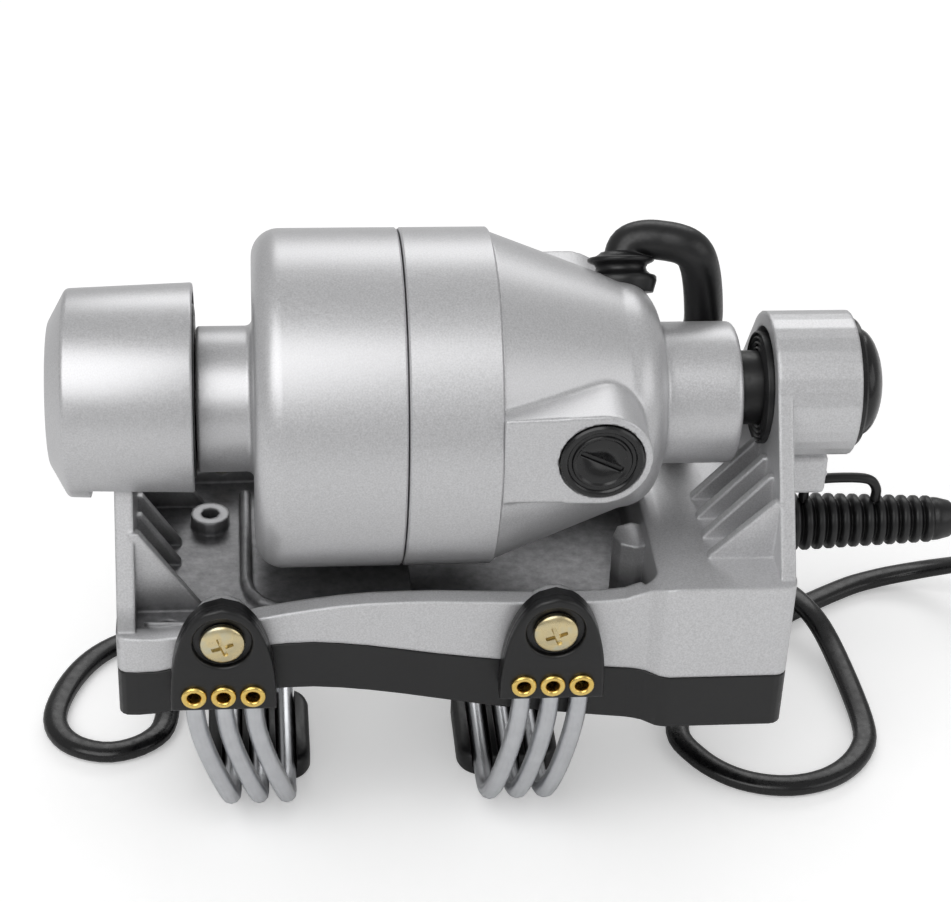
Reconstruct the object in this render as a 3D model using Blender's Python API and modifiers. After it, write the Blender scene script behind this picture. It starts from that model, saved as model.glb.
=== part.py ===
"""Handheld body massager: a motor hung on rubber between two uprights of a die cast cradle,
with a tray under it and two hand straps of wound steel spring.

Frame: metres, +Z up. -X is the end with the large cap, +X the end with the cord.
The origin is on the floor, in the middle under the machine.
"""
import math

import bmesh
import bpy
from mathutils import Vector

# Fits and cuts
GAP = 0.0003
OVERRUN = 0.004
WELD = 0.00002

# Facets round a turned piece
FINE_STEPS = 32
MID_STEPS = 20
SMALL_STEPS = 14
TINY_STEPS = 8
ARC_POINTS = 4

# Heights
AXIS_Z = 0.104
MOTOR_DROP = 0.0022
MOTOR_Z = AXIS_Z - MOTOR_DROP

# Motor housing, stations along X from the front face of the body
BODY_FRONT_X = -0.0498
BODY_RADIUS = 0.0386
BODY_CORNER = 0.006
FRONT_SHELL_LENGTH = 0.0331
REAR_DRUM_LENGTH = 0.0204
CONE_LENGTH = 0.0300
CONE_STEP = 0.0008
CONE_END_RADIUS = 0.0263
SHOULDER_LENGTH = 0.0091
FRONT_NECK_LENGTH = 0.0126
FRONT_NECK_RADIUS = 0.0166
REAR_NECK_LENGTH = 0.0178
REAR_NECK_RADIUS = 0.0164
SHELL_WALL = 0.0030
NECK_WALL = 0.0034
FRONT_STUD_RADIUS = 0.0060
REAR_STUD_RADIUS = 0.0042
STUD_CHAMFER = 0.0008
SEAM_GAP = 0.0004
SEAM_CHAMFER = 0.0005

# Brush arms on both sides of the rear shell
ARM_INSET = 0.0010
ARM_FACE_Y = BODY_RADIUS - ARM_INSET
ARM_HALF_HEIGHT = 0.0104
ARM_RISE = 0.0060
BOSS_FROM_BODY = 0.0749
BOSS_RADIUS = 0.0113
BRUSH_CAP_RADIUS = 0.0092
BRUSH_CAP_DEPTH = 0.0040
BRUSH_CAP_PROUD = 0.0008
BRUSH_CAP_RING = 0.0063
BRUSH_SLOT_WIDTH = 0.0014
BRUSH_SLOT_DEPTH = 0.0010
BRUSH_TUBE_RADIUS = 0.0070
BRUSH_BORE_RADIUS = 0.0046
BRUSH_WIDTH = 0.0064
BRUSH_HEIGHT = 0.0050
BRUSH_LENGTH = 0.0130
BRUSH_WIRE = 0.0008
OIL_HOLE_RADIUS = 0.0016
OIL_HOLE_RISE = 0.0150
OIL_HOLE_FROM_CONE = 0.0340

# Rotor and stator
SHAFT_RADIUS = 0.0040
BEARING_WIDTH = 0.0070
BEARING_RADIUS = 0.0110
BEARING_GROOVE = 0.0008
STATOR_LENGTH = 0.0340
STATOR_FROM_BODY = 0.0110
STATOR_RING_WALL = 0.0080
AIR_GAP = 0.0008
ARMATURE_INSET = 0.0196
ARMATURE_RADIUS = BODY_RADIUS - ARMATURE_INSET
POLE_SHARE = 0.526
POLE_HALF_WIDTH = ARMATURE_RADIUS * POLE_SHARE
ARMATURE_LENGTH = 0.0260
ARMATURE_SLOTS = 12
SLOT_WIDTH = 0.0020
SLOT_DEPTH = 0.0050
COIL_WIRE_RADIUS = 0.0026
COIL_RISE = ARMATURE_RADIUS
WINDING_LENGTH = 0.0070
WINDING_INSET = 0.0030
WINDING_RADIUS = ARMATURE_RADIUS - WINDING_INSET
COMMUTATOR_LENGTH = 0.0130
COMMUTATOR_RADIUS = 0.0105
COMMUTATOR_RISER = 0.0130
WEIGHT_LENGTH = 0.0110
WEIGHT_INSET = 0.0010
WEIGHT_RADIUS = ARMATURE_RADIUS - WEIGHT_INSET
WEIGHT_HUB_RADIUS = 0.0080

# Cradle casting, its ends set from the motor's two necks
FRONT_NECK_ROOM = 0.0190
REAR_NECK_ROOM = 0.0110
RAIL_STAND_OFF = 0.0024
CRADLE_HALF_WIDTH = BODY_RADIUS + RAIL_STAND_OFF
RAIL_WALL = 0.0046
FLOOR_CLEARANCE = 0.0047
FLOOR_DROP = MOTOR_DROP + BODY_RADIUS + FLOOR_CLEARANCE
POCKET_DEPTH = 0.0045
POCKET_DROP = FLOOR_DROP + POCKET_DEPTH
FLOOR_WALL = 0.0030
BLOCK_LENGTH = 0.0310
BLOCK_WALL = 0.0040
BLOCK_DROP = 0.0288
RAIL_EDGE_RADIUS = 0.0012
PLAN_CORNER = 0.0030
SIDE_DEPTH = 0.0245
DROP_SCALE = FLOOR_DROP + SIDE_DEPTH
# Half width of the plan along the cradle, front to rear
PLAN_SHARES = (
    (0.000, 0.835), (0.060, 0.846), (0.200, 0.860), (0.360, 0.885), (0.480, 0.900),
    (0.600, 0.912), (0.700, 0.920), (0.760, 0.925), (0.785, 0.945), (0.805, 0.990),
    (0.820, 1.000), (1.000, 1.000),
)
# Drops below the axis along the cradle, front to rear: the rail's top edge on the near side
# (-Y) and on the far side, where the motor lead is, then the line where the casting meets the
# tray, near and far
SIDE_SHARES = (
    (0.000, 0.630, 0.630, 0.765, 0.765), (0.060, 0.630, 0.630, 0.756, 0.756),
    (0.130, 0.600, 0.600, 0.710, 0.722), (0.210, 0.549, 0.560, 0.655, 0.684),
    (0.290, 0.512, 0.505, 0.639, 0.660), (0.370, 0.488, 0.455, 0.652, 0.643),
    (0.470, 0.480, 0.411, 0.685, 0.628), (0.590, 0.486, 0.403, 0.718, 0.625),
    (0.700, 0.484, 0.410, 0.742, 0.672), (0.750, 0.474, 0.427, 0.751, 0.718),
    (0.790, 0.430, 0.420, 0.757, 0.757), (0.820, 0.4114, 0.4114, 0.764, 0.764),
    (1.000, 0.4114, 0.4114, 0.764, 0.764),
)
# Drop of the tray's underside
TRAY_SHARES = (
    (0.000, 0.943), (0.060, 0.930), (0.130, 0.885), (0.210, 0.835), (0.290, 0.822),
    (0.370, 0.835), (0.470, 0.870), (0.590, 0.915), (0.700, 0.945), (0.750, 0.957),
    (0.790, 0.965), (0.820, 0.970), (1.000, 0.970),
)
PROFILE_STEPS = 2

# Uprights
FRONT_PLATE = 0.0041
FRONT_PLATE_SETBACK = 0.0003
REAR_PLATE = 0.0037
FRONT_PLATE_HALF_WIDTH = 0.0335
FRONT_PLATE_NARROW_DROP = 0.0140
REAR_PLATE_HALF_WIDTH = 0.0395
RING_FRONT_LENGTH = 0.0084
RING_REAR_RADIUS = 0.0168
RING_REAR_LENGTH = 0.0161
RING_REAR_BORE = 0.0134
CLAMP_LUG_WIDTH = 0.0120
CLAMP_LUG_HALF_HEIGHT = 0.0042
CLAMP_LUG_HALF_WIDTH = 0.0090
CLAMP_DROP = 0.0212
CLAMP_SLIT = 0.0016
CLAMP_SCREW_RADIUS = 0.0015
CLAMP_HEAD_RADIUS = 0.0029
CLAMP_HEAD_HEIGHT = 0.0018
CLAMP_FROM_END = 0.0045
RIB_THICKNESS = 0.0022
FRONT_RIB_LENGTH = 0.0150
FRONT_RIB_HEIGHT = 0.0215
REAR_RIB_LENGTH = 0.0150
REAR_RIB_HEIGHT = 0.0165
# Each rib's place, as a share of the cradle's half width, and its share of the full height
FRONT_RIB_SHARES = ((-0.512, 1.0), (-0.268, 0.65), (-0.073, 0.65), (0.122, 0.65), (0.512, 1.0))
REAR_RIB_SHARES = ((-0.683, 0.9), (-0.488, 1.0), (-0.293, 1.0), (-0.098, 1.0), (0.829, 0.8))

# Cradle floor details
BOSS_A_FROM_FRONT = 0.0210
BOSS_A_Y = 0.0120
BOSS_A_RADIUS = 0.0046
BOSS_A_HEIGHT = 0.0035
BOSS_B_FROM_FRONT = 0.0075
BOSS_B_Y = -0.0275
BOSS_B_RADIUS = 0.0040
FLOOR_HOLE_RADIUS = 0.0022
LIP_RADIUS = 0.0014
LIP_STAND_OFF = 0.0022
LIP_CORNER = 0.0120
LIP_REACH = 0.0210
LIP_SIDE_Y = -0.0240
LIP_TOP_SHARE = 0.5
FLOOR_BAR_LENGTH = 0.0210
FLOOR_BAR_WIDTH = 0.0030
FLOOR_BAR_HEIGHT = 0.0024
FLOOR_BAR_FROM_FRONT = 0.0420
PILLAR_RADIUS = 0.0050
PILLAR_FROM_REAR = 0.0330
PILLAR_Y = -0.0120

# Front cap
CAP_RIM_RADIUS = 0.0246
CAP_DRAFT = 0.0012
CAP_END_RADIUS = CAP_RIM_RADIUS - CAP_DRAFT
CAP_LENGTH = 0.0324
CAP_WALL = 0.0020
CAP_CHAMFER_LENGTH = 0.0041
CAP_CHAMFER_DROP = 0.0075
CAP_RIM_GAP = 0.0006

# Rubber bushes and the rear plug
FRONT_BUSH_ROOM = 0.0026
FRONT_BUSH_RADIUS = CAP_RIM_RADIUS - CAP_WALL - FRONT_BUSH_ROOM
FRONT_BUSH_FLANGE = 0.0030
RING_FRONT_BORE = FRONT_BUSH_RADIUS - FRONT_BUSH_FLANGE
BUSH_GROOVE = 0.0010
BUSH_RIDGES = 2
REAR_SLEEVE_RADIUS = 0.0086
REAR_BUSH_LENGTH = 0.0120
REAR_BUSH_LEAD = 0.0016
PLUG_FLANGE_RADIUS = 0.0150
PLUG_DOME = 0.0078
PLUG_SEAT_LENGTH = 0.0030

# Tray
TRAY_WALL = 0.0040
TRAY_FLOOR = 0.0030
INLET_LENGTH = 0.0062
INLET_HALF_WIDTH = 0.0110
INLET_TOP_DROP = 0.0375
INLET_CORNER = 0.0020

# Strap tabs
TAB_HALF_WIDTH = 0.0119
TAB_TOP = 0.0094
TAB_EYELET_DROP = 0.0146
TAB_FOOT = 0.0042
TAB_THICKNESS = 0.0052
TAB_ARCH_POWER = 2.6
TAB_ARCH_SHARES = (0.0, 0.3, 0.5, 0.66, 0.8, 0.9, 0.965, 1.0)
TAB_RECESS_RADIUS = 0.0066
TAB_RECESS_DEPTH = 0.0014
SCREW_HEAD_RADIUS = 0.0051
SCREW_HEAD_HEIGHT = 0.0023
SCREW_RADIUS = 0.0020
SCREW_BITE = 0.0040
SCREW_DRIVE_RADIUS = 0.0023
SCREW_DRIVE_WIDTH = 0.0011
SCREW_DRIVE_DEPTH = 0.0012
EAR_RADIUS = 0.0064
EYELET_RADIUS = 0.0029
EYELET_BORE = 0.0015
EYELET_BARREL = 0.0019
EYELET_FLANGE = 0.0005
EYELET_PITCH = 0.0066
FRONT_TAB_FROM_FRONT = 0.0239
FRONT_TAB_RISE = 0.0045
FRONT_TAB_DROP = FLOOR_DROP - FRONT_TAB_RISE
REAR_TAB_FROM_FRONT = 0.0982
REAR_TAB_RISE = 0.0072
REAR_TAB_DROP = FLOOR_DROP - REAR_TAB_RISE

# Spring strands and keeper pads
STRAND_RADIUS = 0.00225
STRAND_WIRE_RADIUS = 0.0006
STRAND_CURLS = 8
STRAND_CURL_POINTS = 8
STRAND_POWER = 2.5
STRAND_FLOOR = 0.0016
STRAND_FLAT = 0.0290
PAD_LENGTH_X = 0.0250
PAD_LENGTH_Y = 0.0300
PAD_HEIGHT = 0.0062
PAD_CORNER = 0.0060
PAD_EDGE = 0.0010
FRONT_PAD_LEAN = 0.0080
REAR_PAD_LEAN = -0.0050

# Motor lead, from its foot on the rear block to its collar on the cone
LEAD_RADIUS = 0.0046
LEAD_FOOT_RADIUS = 0.0076
LEAD_FOOT_HEIGHT = 0.0060
LEAD_COLLAR_RADIUS = 0.0078
LEAD_COLLAR_LENGTH = 0.0050
LEAD_FOOT_FROM_REAR = 0.0190
LEAD_FOOT_Y = 0.0200
LEAD_COLLAR_FROM_CONE = 0.0016
# How far the collar is turned from the top towards the far side, in degrees
LEAD_COLLAR_TURN = 33
LEAD_TOP_RISE = 0.0300
LEAD_HOLE_RADIUS = 0.0040
LEAD_POINTS = 18

# Strain relief, cord, coil and plug
RELIEF_Y = 0.0135
RELIEF_DROP = 0.0487
RELIEF_RADIUS = 0.0073
RELIEF_NARROWING = 0.0016
RELIEF_GROOVE = 0.0014
RELIEF_RINGS = 12
RELIEF_RIBBED_LENGTH = 0.0370
RELIEF_TAPER_LENGTH = 0.0050
RELIEF_FLANGE_RADIUS = 0.0080
RELIEF_FLANGE_LENGTH = 0.0030
RELIEF_END_RADIUS = 0.0042
CORD_DIAMETER = 0.0060
CORD_RADIUS = CORD_DIAMETER / 2
CORD_POINTS = 56
COIL_CENTRE_X = -0.0092
COIL_CENTRE_Y = 0.0965
COIL_INNER_RADIUS = 0.0245
COIL_SPACING = 0.0075
COIL_UPPER_TURNS = 2.25
COIL_LOWER_TURNS = 2.5
COIL_LOOP_POINTS = 24
COIL_END_RISE = 0.0045
COIL_END_SPREAD = 0.0090
PLUG_LENGTH = 0.0340
PLUG_HALF_WIDTH = 0.0120
PLUG_HALF_HEIGHT = 0.0075
PLUG_EDGE = 0.0030
PIN_RADIUS = 0.0020
PIN_LENGTH = 0.0180
PIN_PITCH = 0.0190

# Stations that follow from the sizes above
SEAM_X = BODY_FRONT_X + FRONT_SHELL_LENGTH
DRUM_END_X = SEAM_X + REAR_DRUM_LENGTH
CONE_END_X = DRUM_END_X + CONE_LENGTH
SHOULDER_END_X = CONE_END_X + SHOULDER_LENGTH
REAR_NECK_END_X = SHOULDER_END_X + REAR_NECK_LENGTH
FRONT_NECK_END_X = BODY_FRONT_X - FRONT_NECK_LENGTH
BOSS_X = BODY_FRONT_X + BOSS_FROM_BODY
BRUSH_Z = MOTOR_Z + ARM_RISE
CRADLE_FRONT_X = FRONT_NECK_END_X - FRONT_NECK_ROOM
CRADLE_REAR_X = REAR_NECK_END_X + REAR_NECK_ROOM
CRADLE_LENGTH = CRADLE_REAR_X - CRADLE_FRONT_X
FRONT_TAB_X = CRADLE_FRONT_X + FRONT_TAB_FROM_FRONT
REAR_TAB_X = CRADLE_FRONT_X + REAR_TAB_FROM_FRONT
LEAD_FOOT_X = CRADLE_REAR_X - LEAD_FOOT_FROM_REAR
LEAD_COLLAR_X = CONE_END_X + LEAD_COLLAR_FROM_CONE
BLOCK_FRONT_X = CRADLE_REAR_X - BLOCK_LENGTH
FRONT_PLATE_X = CRADLE_FRONT_X + FRONT_PLATE_SETBACK
FRONT_PLATE_END_X = FRONT_PLATE_X + FRONT_PLATE
REAR_PLATE_X = CRADLE_REAR_X - REAR_PLATE
RING_FRONT_X = FRONT_PLATE_END_X - RING_FRONT_LENGTH
RING_REAR_END_X = CRADLE_REAR_X + RING_REAR_LENGTH - GAP
CAP_RIM_X = FRONT_NECK_END_X - CAP_RIM_GAP
CAP_END_X = CAP_RIM_X - CAP_LENGTH
FLOOR_Z = AXIS_Z - FLOOR_DROP
POCKET_Z = AXIS_Z - POCKET_DROP
BLOCK_TOP_Z = AXIS_Z - BLOCK_DROP
INSET_WALL = TRAY_WALL + GAP

MATERIALS = {
    "cast_silver": ((0.62, 0.62, 0.63), 0.38, 0.75),
    "cap_silver": ((0.66, 0.66, 0.67), 0.34, 0.75),
    "black_plastic": ((0.012, 0.012, 0.013), 0.45, 0.0),
    "black_rubber": ((0.010, 0.010, 0.011), 0.62, 0.0),
    "zinc_gold": ((0.62, 0.50, 0.25), 0.30, 1.0),
    "brass": ((0.80, 0.56, 0.18), 0.25, 1.0),
    "spring_steel": ((0.56, 0.57, 0.58), 0.28, 1.0),
    "bare_steel": ((0.50, 0.50, 0.51), 0.35, 1.0),
    "core_steel": ((0.22, 0.22, 0.23), 0.50, 0.9),
    "copper": ((0.70, 0.32, 0.16), 0.35, 1.0),
    "carbon": ((0.03, 0.03, 0.032), 0.60, 0.0),
}


def clear_scene():
    for obj in list(bpy.data.objects):
        bpy.data.objects.remove(obj, do_unlink=True)


def new_collection(name):
    collection = bpy.data.collections.new(name)
    bpy.context.scene.collection.children.link(collection)
    return collection


def make_materials():
    for name, (colour, roughness, metallic) in MATERIALS.items():
        material = bpy.data.materials.new(name)
        material.use_nodes = True
        shader = material.node_tree.nodes["Principled BSDF"]
        shader.inputs["Base Color"].default_value = (*colour, 1)
        shader.inputs["Roughness"].default_value = roughness
        shader.inputs["Metallic"].default_value = metallic


clear_scene()
PARTS = new_collection("body_massager")
CUTTERS = new_collection("cutters")
CUTTERS.hide_render = True
make_materials()

# Turns that lay a piece's own Z along a direction of the machine
QUARTER = math.pi / 2
TURNS = {
    "+X": (0, QUARTER, 0),
    "-X": (0, -QUARTER, 0),
    "+Y": (-QUARTER, 0, 0),
    "-Y": (QUARTER, 0, 0),
    "+Z": (0, 0, 0),
}
# Turns that lay a drawing's X and Y on two axes of the machine
PLANES = {"XY": (0, 0, 0), "XZ": (QUARTER, 0, 0), "YZ": (QUARTER, 0, QUARTER)}


def shade(mesh):
    mesh.shade_smooth()
    mesh.set_sharp_from_angle(angle=math.radians(35))


def place(name, mesh, place_at=(0, 0, 0), turn=(0, 0, 0), material=None):
    """An object for a mesh. Without a material it is a cutter or a shape to be joined."""
    obj = bpy.data.objects.new(name, mesh)
    obj.location = place_at
    obj.rotation_euler = turn
    if material is None:
        CUTTERS.objects.link(obj)
        obj.hide_render = True
        obj.display_type = "WIRE"
    else:
        PARTS.objects.link(obj)
        mesh.materials.clear()
        mesh.materials.append(bpy.data.materials[material])
    return obj


def turned(name, profile, centre, direction, material=None, steps=MID_STEPS, closed=False):
    """A profile of (radius, height) pairs, running down the outer side, turned about its own Z."""
    mesh = bpy.data.meshes.new(name)
    edges = [(i, i + 1) for i in range(len(profile) - 1)]
    if closed:
        edges.append((len(profile) - 1, 0))
    mesh.from_pydata([(radius, 0, height) for radius, height in profile], edges, [])
    obj = place(name, mesh, centre, TURNS[direction], material)
    screw = obj.modifiers.new("turn", "SCREW")
    screw.steps = steps
    screw.render_steps = steps
    screw.use_merge_vertices = True
    screw.merge_threshold = WELD
    smooth_after(obj)
    return obj


def smooth_after(obj):
    """Rounds the shading of what the modifiers before it make."""
    obj.data.shade_smooth()


def cylinder(name, radius, start, end, centre, direction, material=None, steps=SMALL_STEPS):
    """A cylinder along a direction, from start to end as seen from the centre."""
    profile = [(0, end), (radius, end), (radius, start), (0, start)]
    return turned(name, profile, centre, direction, material, steps)


def box(name, low, high, material=None):
    """A box between two corners, made from a cube."""
    mesh = bpy.data.meshes.new(name)
    shape = bmesh.new()
    bmesh.ops.create_cube(shape, size=1)
    size = [b - a for a, b in zip(low, high)]
    bmesh.ops.scale(shape, vec=size, verts=shape.verts)
    shape.to_mesh(mesh)
    shape.free()
    centre = [(a + b) / 2 for a, b in zip(low, high)]
    return place(name, mesh, centre, (0, 0, 0), material)


def as_mesh(obj, name, material=None):
    """The evaluated shape of a curve object as a welded mesh object; the curve is removed."""
    bpy.context.view_layer.update()
    graph = bpy.context.evaluated_depsgraph_get()
    mesh = bpy.data.meshes.new_from_object(obj.evaluated_get(graph))
    shape = bmesh.new()
    shape.from_mesh(mesh)
    bmesh.ops.remove_doubles(shape, verts=shape.verts, dist=WELD)
    bmesh.ops.recalc_face_normals(shape, faces=shape.faces)
    shape.to_mesh(mesh)
    shape.free()
    matrix = obj.matrix_world.copy()
    bpy.data.objects.remove(obj, do_unlink=True)
    made = place(name, mesh, material=material)
    made.matrix_world = matrix
    shade(mesh)
    return made


def plate(name, outline, low, high, plane, material=None):
    """A flat outline in a plane of the machine, from low to high along the third axis."""
    curve = bpy.data.curves.new(name + "_outline", "CURVE")
    curve.dimensions = "2D"
    curve.fill_mode = "BOTH"
    curve.extrude = (high - low) / 2
    spline = curve.splines.new("POLY")
    spline.points.add(len(outline) - 1)
    for point, (across, up) in zip(spline.points, outline):
        point.co = (across, up, 0, 1)
    spline.use_cyclic_u = True
    flat = bpy.data.objects.new(name + "_outline", curve)
    middle = (low + high) / 2
    flat.location = {"XY": (0, 0, middle), "XZ": (0, middle, 0), "YZ": (middle, 0, 0)}[plane]
    flat.rotation_euler = PLANES[plane]
    CUTTERS.objects.link(flat)
    return as_mesh(flat, name, material)


def tube(name, points, radius, resolution, material=None, closed=False):
    """A round wire through points, as a curve with filled caps."""
    curve = bpy.data.curves.new(name, "CURVE")
    curve.dimensions = "3D"
    curve.bevel_depth = radius
    curve.bevel_resolution = resolution
    curve.use_fill_caps = True
    spline = curve.splines.new("POLY")
    spline.points.add(len(points) - 1)
    for point, co in zip(spline.points, points):
        point.co = (*co, 1)
    spline.use_cyclic_u = closed
    spline.use_smooth = True
    obj = bpy.data.objects.new(name, curve)
    if material is None:
        CUTTERS.objects.link(obj)
    else:
        PARTS.objects.link(obj)
        curve.materials.append(bpy.data.materials[material])
    return obj


def combine(obj, other, operation):
    """Joins, cuts or limits a piece with another shape."""
    step = obj.modifiers.new(operation.lower() + "_" + other.name, "BOOLEAN")
    step.operation = operation
    step.object = other
    step.solver = "EXACT"


def join(obj, *others):
    for other in others:
        combine(obj, other, "UNION")


def cut(obj, *others):
    for other in others:
        combine(obj, other, "DIFFERENCE")


def soften(obj, width, segments=2, angle=40):
    step = obj.modifiers.new("edges", "BEVEL")
    step.width = width
    step.segments = segments
    step.limit_method = "ANGLE"
    step.angle_limit = math.radians(angle)


def arc(centre, radius, start, end, count=ARC_POINTS):
    """Points on an arc, angles in degrees."""
    return [
        (
            centre[0] + radius * math.cos(math.radians(start + (end - start) * i / count)),
            centre[1] + radius * math.sin(math.radians(start + (end - start) * i / count)),
        )
        for i in range(count + 1)
    ]


def curve_through(points, count):
    """A smooth curve through points, read at equal lengths."""
    points = [Vector(point) for point in points]
    first = points[0] * 2 - points[1]
    last = points[-1] * 2 - points[-2]
    spine = [first, *points, last]
    dense = []
    steps = 24
    for a, b, c, d in zip(spine, spine[1:], spine[2:], spine[3:]):
        for i in range(steps):
            t = i / steps
            dense.append(
                (b * 2 + (c - a) * t + (a * 2 - b * 5 + c * 4 - d) * t**2
                 + (b * 3 - a - c * 3 + d) * t**3) / 2
            )
    dense.append(points[-1])
    return read_at_equal_lengths(dense, count)


def read_at_equal_lengths(dense, count):
    travelled = [0.0]
    for a, b in zip(dense, dense[1:]):
        travelled.append(travelled[-1] + (b - a).length)
    out = []
    j = 0
    for i in range(count):
        goal = travelled[-1] * i / (count - 1)
        while j < len(dense) - 2 and travelled[j + 1] < goal:
            j += 1
        span = travelled[j + 1] - travelled[j]
        t = (goal - travelled[j]) / span if span else 0
        out.append(dense[j].lerp(dense[j + 1], min(t, 1)))
    return out


def length_of(points):
    return sum((b - a).length for a, b in zip(points, points[1:]))


def slopes_of(shares):
    """A slope at each point of a table that never carries the line past its neighbours."""
    steps = [(yb - ya) / (xb - xa) for (xa, ya), (xb, yb) in zip(shares, shares[1:])]
    inner = [0 if a * b <= 0 else 2 * a * b / (a + b) for a, b in zip(steps, steps[1:])]
    return [steps[0], *inner, steps[-1]]


def share_curve(shares):
    """A smooth line through a table of shares."""
    slopes = slopes_of(shares)
    line = [shares[0]]
    for (xa, ya), (xb, yb), sa, sb in zip(shares, shares[1:], slopes, slopes[1:]):
        for i in range(1, PROFILE_STEPS + 1):
            t = i / PROFILE_STEPS
            run = xb - xa
            y = (ya * (2 * t**3 - 3 * t**2 + 1) + yb * (3 * t**2 - 2 * t**3)
                 + run * sa * (t**3 - 2 * t**2 + t) + run * sb * (t**3 - t**2))
            line.append((xa + run * t, y))
    return line


def half_width(x, inset=0):
    """Half the cradle's width at a station."""
    share = (x - CRADLE_FRONT_X) / CRADLE_LENGTH
    line = share_curve(PLAN_SHARES)
    for (a, wa), (b, wb) in zip(line, line[1:]):
        if share <= b:
            t = max(0, (share - a) / (b - a))
            return (wa + (wb - wa) * t) * CRADLE_HALF_WIDTH - inset
    return CRADLE_HALF_WIDTH - inset


def corners_of(line):
    """The line without the points that lie on a straight run."""
    kept = [line[0]]
    for a, b, c in zip(line, line[1:], line[2:]):
        turn = (b[0] - a[0]) * (c[1] - b[1]) - (b[1] - a[1]) * (c[0] - b[0])
        if abs(turn) > WELD * WELD:
            kept.append(b)
    return [*kept, line[-1]]


def plan(inset, front, rear):
    """The cradle's plan, drawn in by inset, between two stations."""
    side = [
        (CRADLE_FRONT_X + x * CRADLE_LENGTH, y * CRADLE_HALF_WIDTH - inset)
        for x, y in share_curve(PLAN_SHARES)
    ]
    side = [point for point in side if front < point[0] < rear]
    corner = PLAN_CORNER
    near = [(x, y) for x, y in side if front + corner < x < rear - corner]
    first = half_width(front, inset)
    last = half_width(rear, inset)
    rear_arc = arc((rear - corner, last - corner), corner, 90, 0)
    front_arc = arc((front + corner, first - corner), corner, 180, 90)
    upper = corners_of(front_arc + near + rear_arc)
    return upper + [(x, -y) for x, y in reversed(upper)]


def drop_line(shares):
    """A line along the cradle from its table, as (x, z) pairs from front to rear."""
    return [
        (CRADLE_FRONT_X + x * CRADLE_LENGTH, AXIS_Z - drop * DROP_SCALE)
        for x, drop in share_curve(shares)
    ]


def lowered(line, by):
    return [(x, z - by) for x, z in line]


def side_line(column):
    """One line of the sides' table."""
    return stretched(drop_line([(row[0], row[column]) for row in SIDE_SHARES]))


def side_band(name, near_top, far_top, near_bottom, far_bottom):
    """The space between two surfaces along the cradle, each with its own line on each side."""
    reach = CRADLE_HALF_WIDTH + OVERRUN
    mesh = bpy.data.meshes.new(name)
    shape = bmesh.new()
    rows = []
    for y, top, bottom in (
        (-reach, near_top, near_bottom), (-OVERRUN, near_top, near_bottom),
        (OVERRUN, far_top, far_bottom), (reach, far_top, far_bottom),
    ):
        loop = top + list(reversed(bottom))
        rows.append([shape.verts.new((x, y, z)) for x, z in loop])
    for row, other in zip(rows, rows[1:]):
        for a, b, c, d in zip(row, row[1:] + row[:1], other[1:] + other[:1], other):
            shape.faces.new((a, b, c, d))
    shape.faces.new(rows[0])
    shape.faces.new(rows[-1])
    bmesh.ops.recalc_face_normals(shape, faces=shape.faces)
    shape.to_mesh(mesh)
    shape.free()
    return place(name, mesh)


def stretched(line):
    """The line with its ends run past the cradle's ends."""
    first, last = line[0], line[-1]
    return [(first[0] - OVERRUN, first[1]), *line, (last[0] + OVERRUN, last[1])]


# Cradle casting


def upright_outline(radius, half_base, base_z, narrow_drop=None):
    """A ring on a foot that tapers up to it: (y, z) pairs."""
    if narrow_drop is None:
        reach = math.hypot(half_base, AXIS_Z - base_z)
        lean = math.atan2(AXIS_Z - base_z, half_base)
        start = math.degrees(math.acos(radius / reach) - lean)
    else:
        start = -math.degrees(math.asin(narrow_drop / radius))
    over = arc((0, AXIS_Z), radius, start, 180 - start, ARC_POINTS * 4)
    return [(half_base, base_z), *over, (-half_base, base_z)]


def rib(name, x, towards, foot_z, height, length, y):
    """A triangular stiffener that leans on an upright, in a plane across Y."""
    embed = OVERRUN / 4
    back = x - towards * embed
    tip = x + towards * length
    outline = [
        (back, foot_z - embed),
        (tip, foot_z - embed),
        (tip, foot_z + embed / 2),
        (x + towards * embed, foot_z + height),
        (back, foot_z + height),
    ]
    if towards < 0:
        outline.reverse()
    half = RIB_THICKNESS / 2
    return plate(name, outline, y - half, y + half, "XZ")


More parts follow.
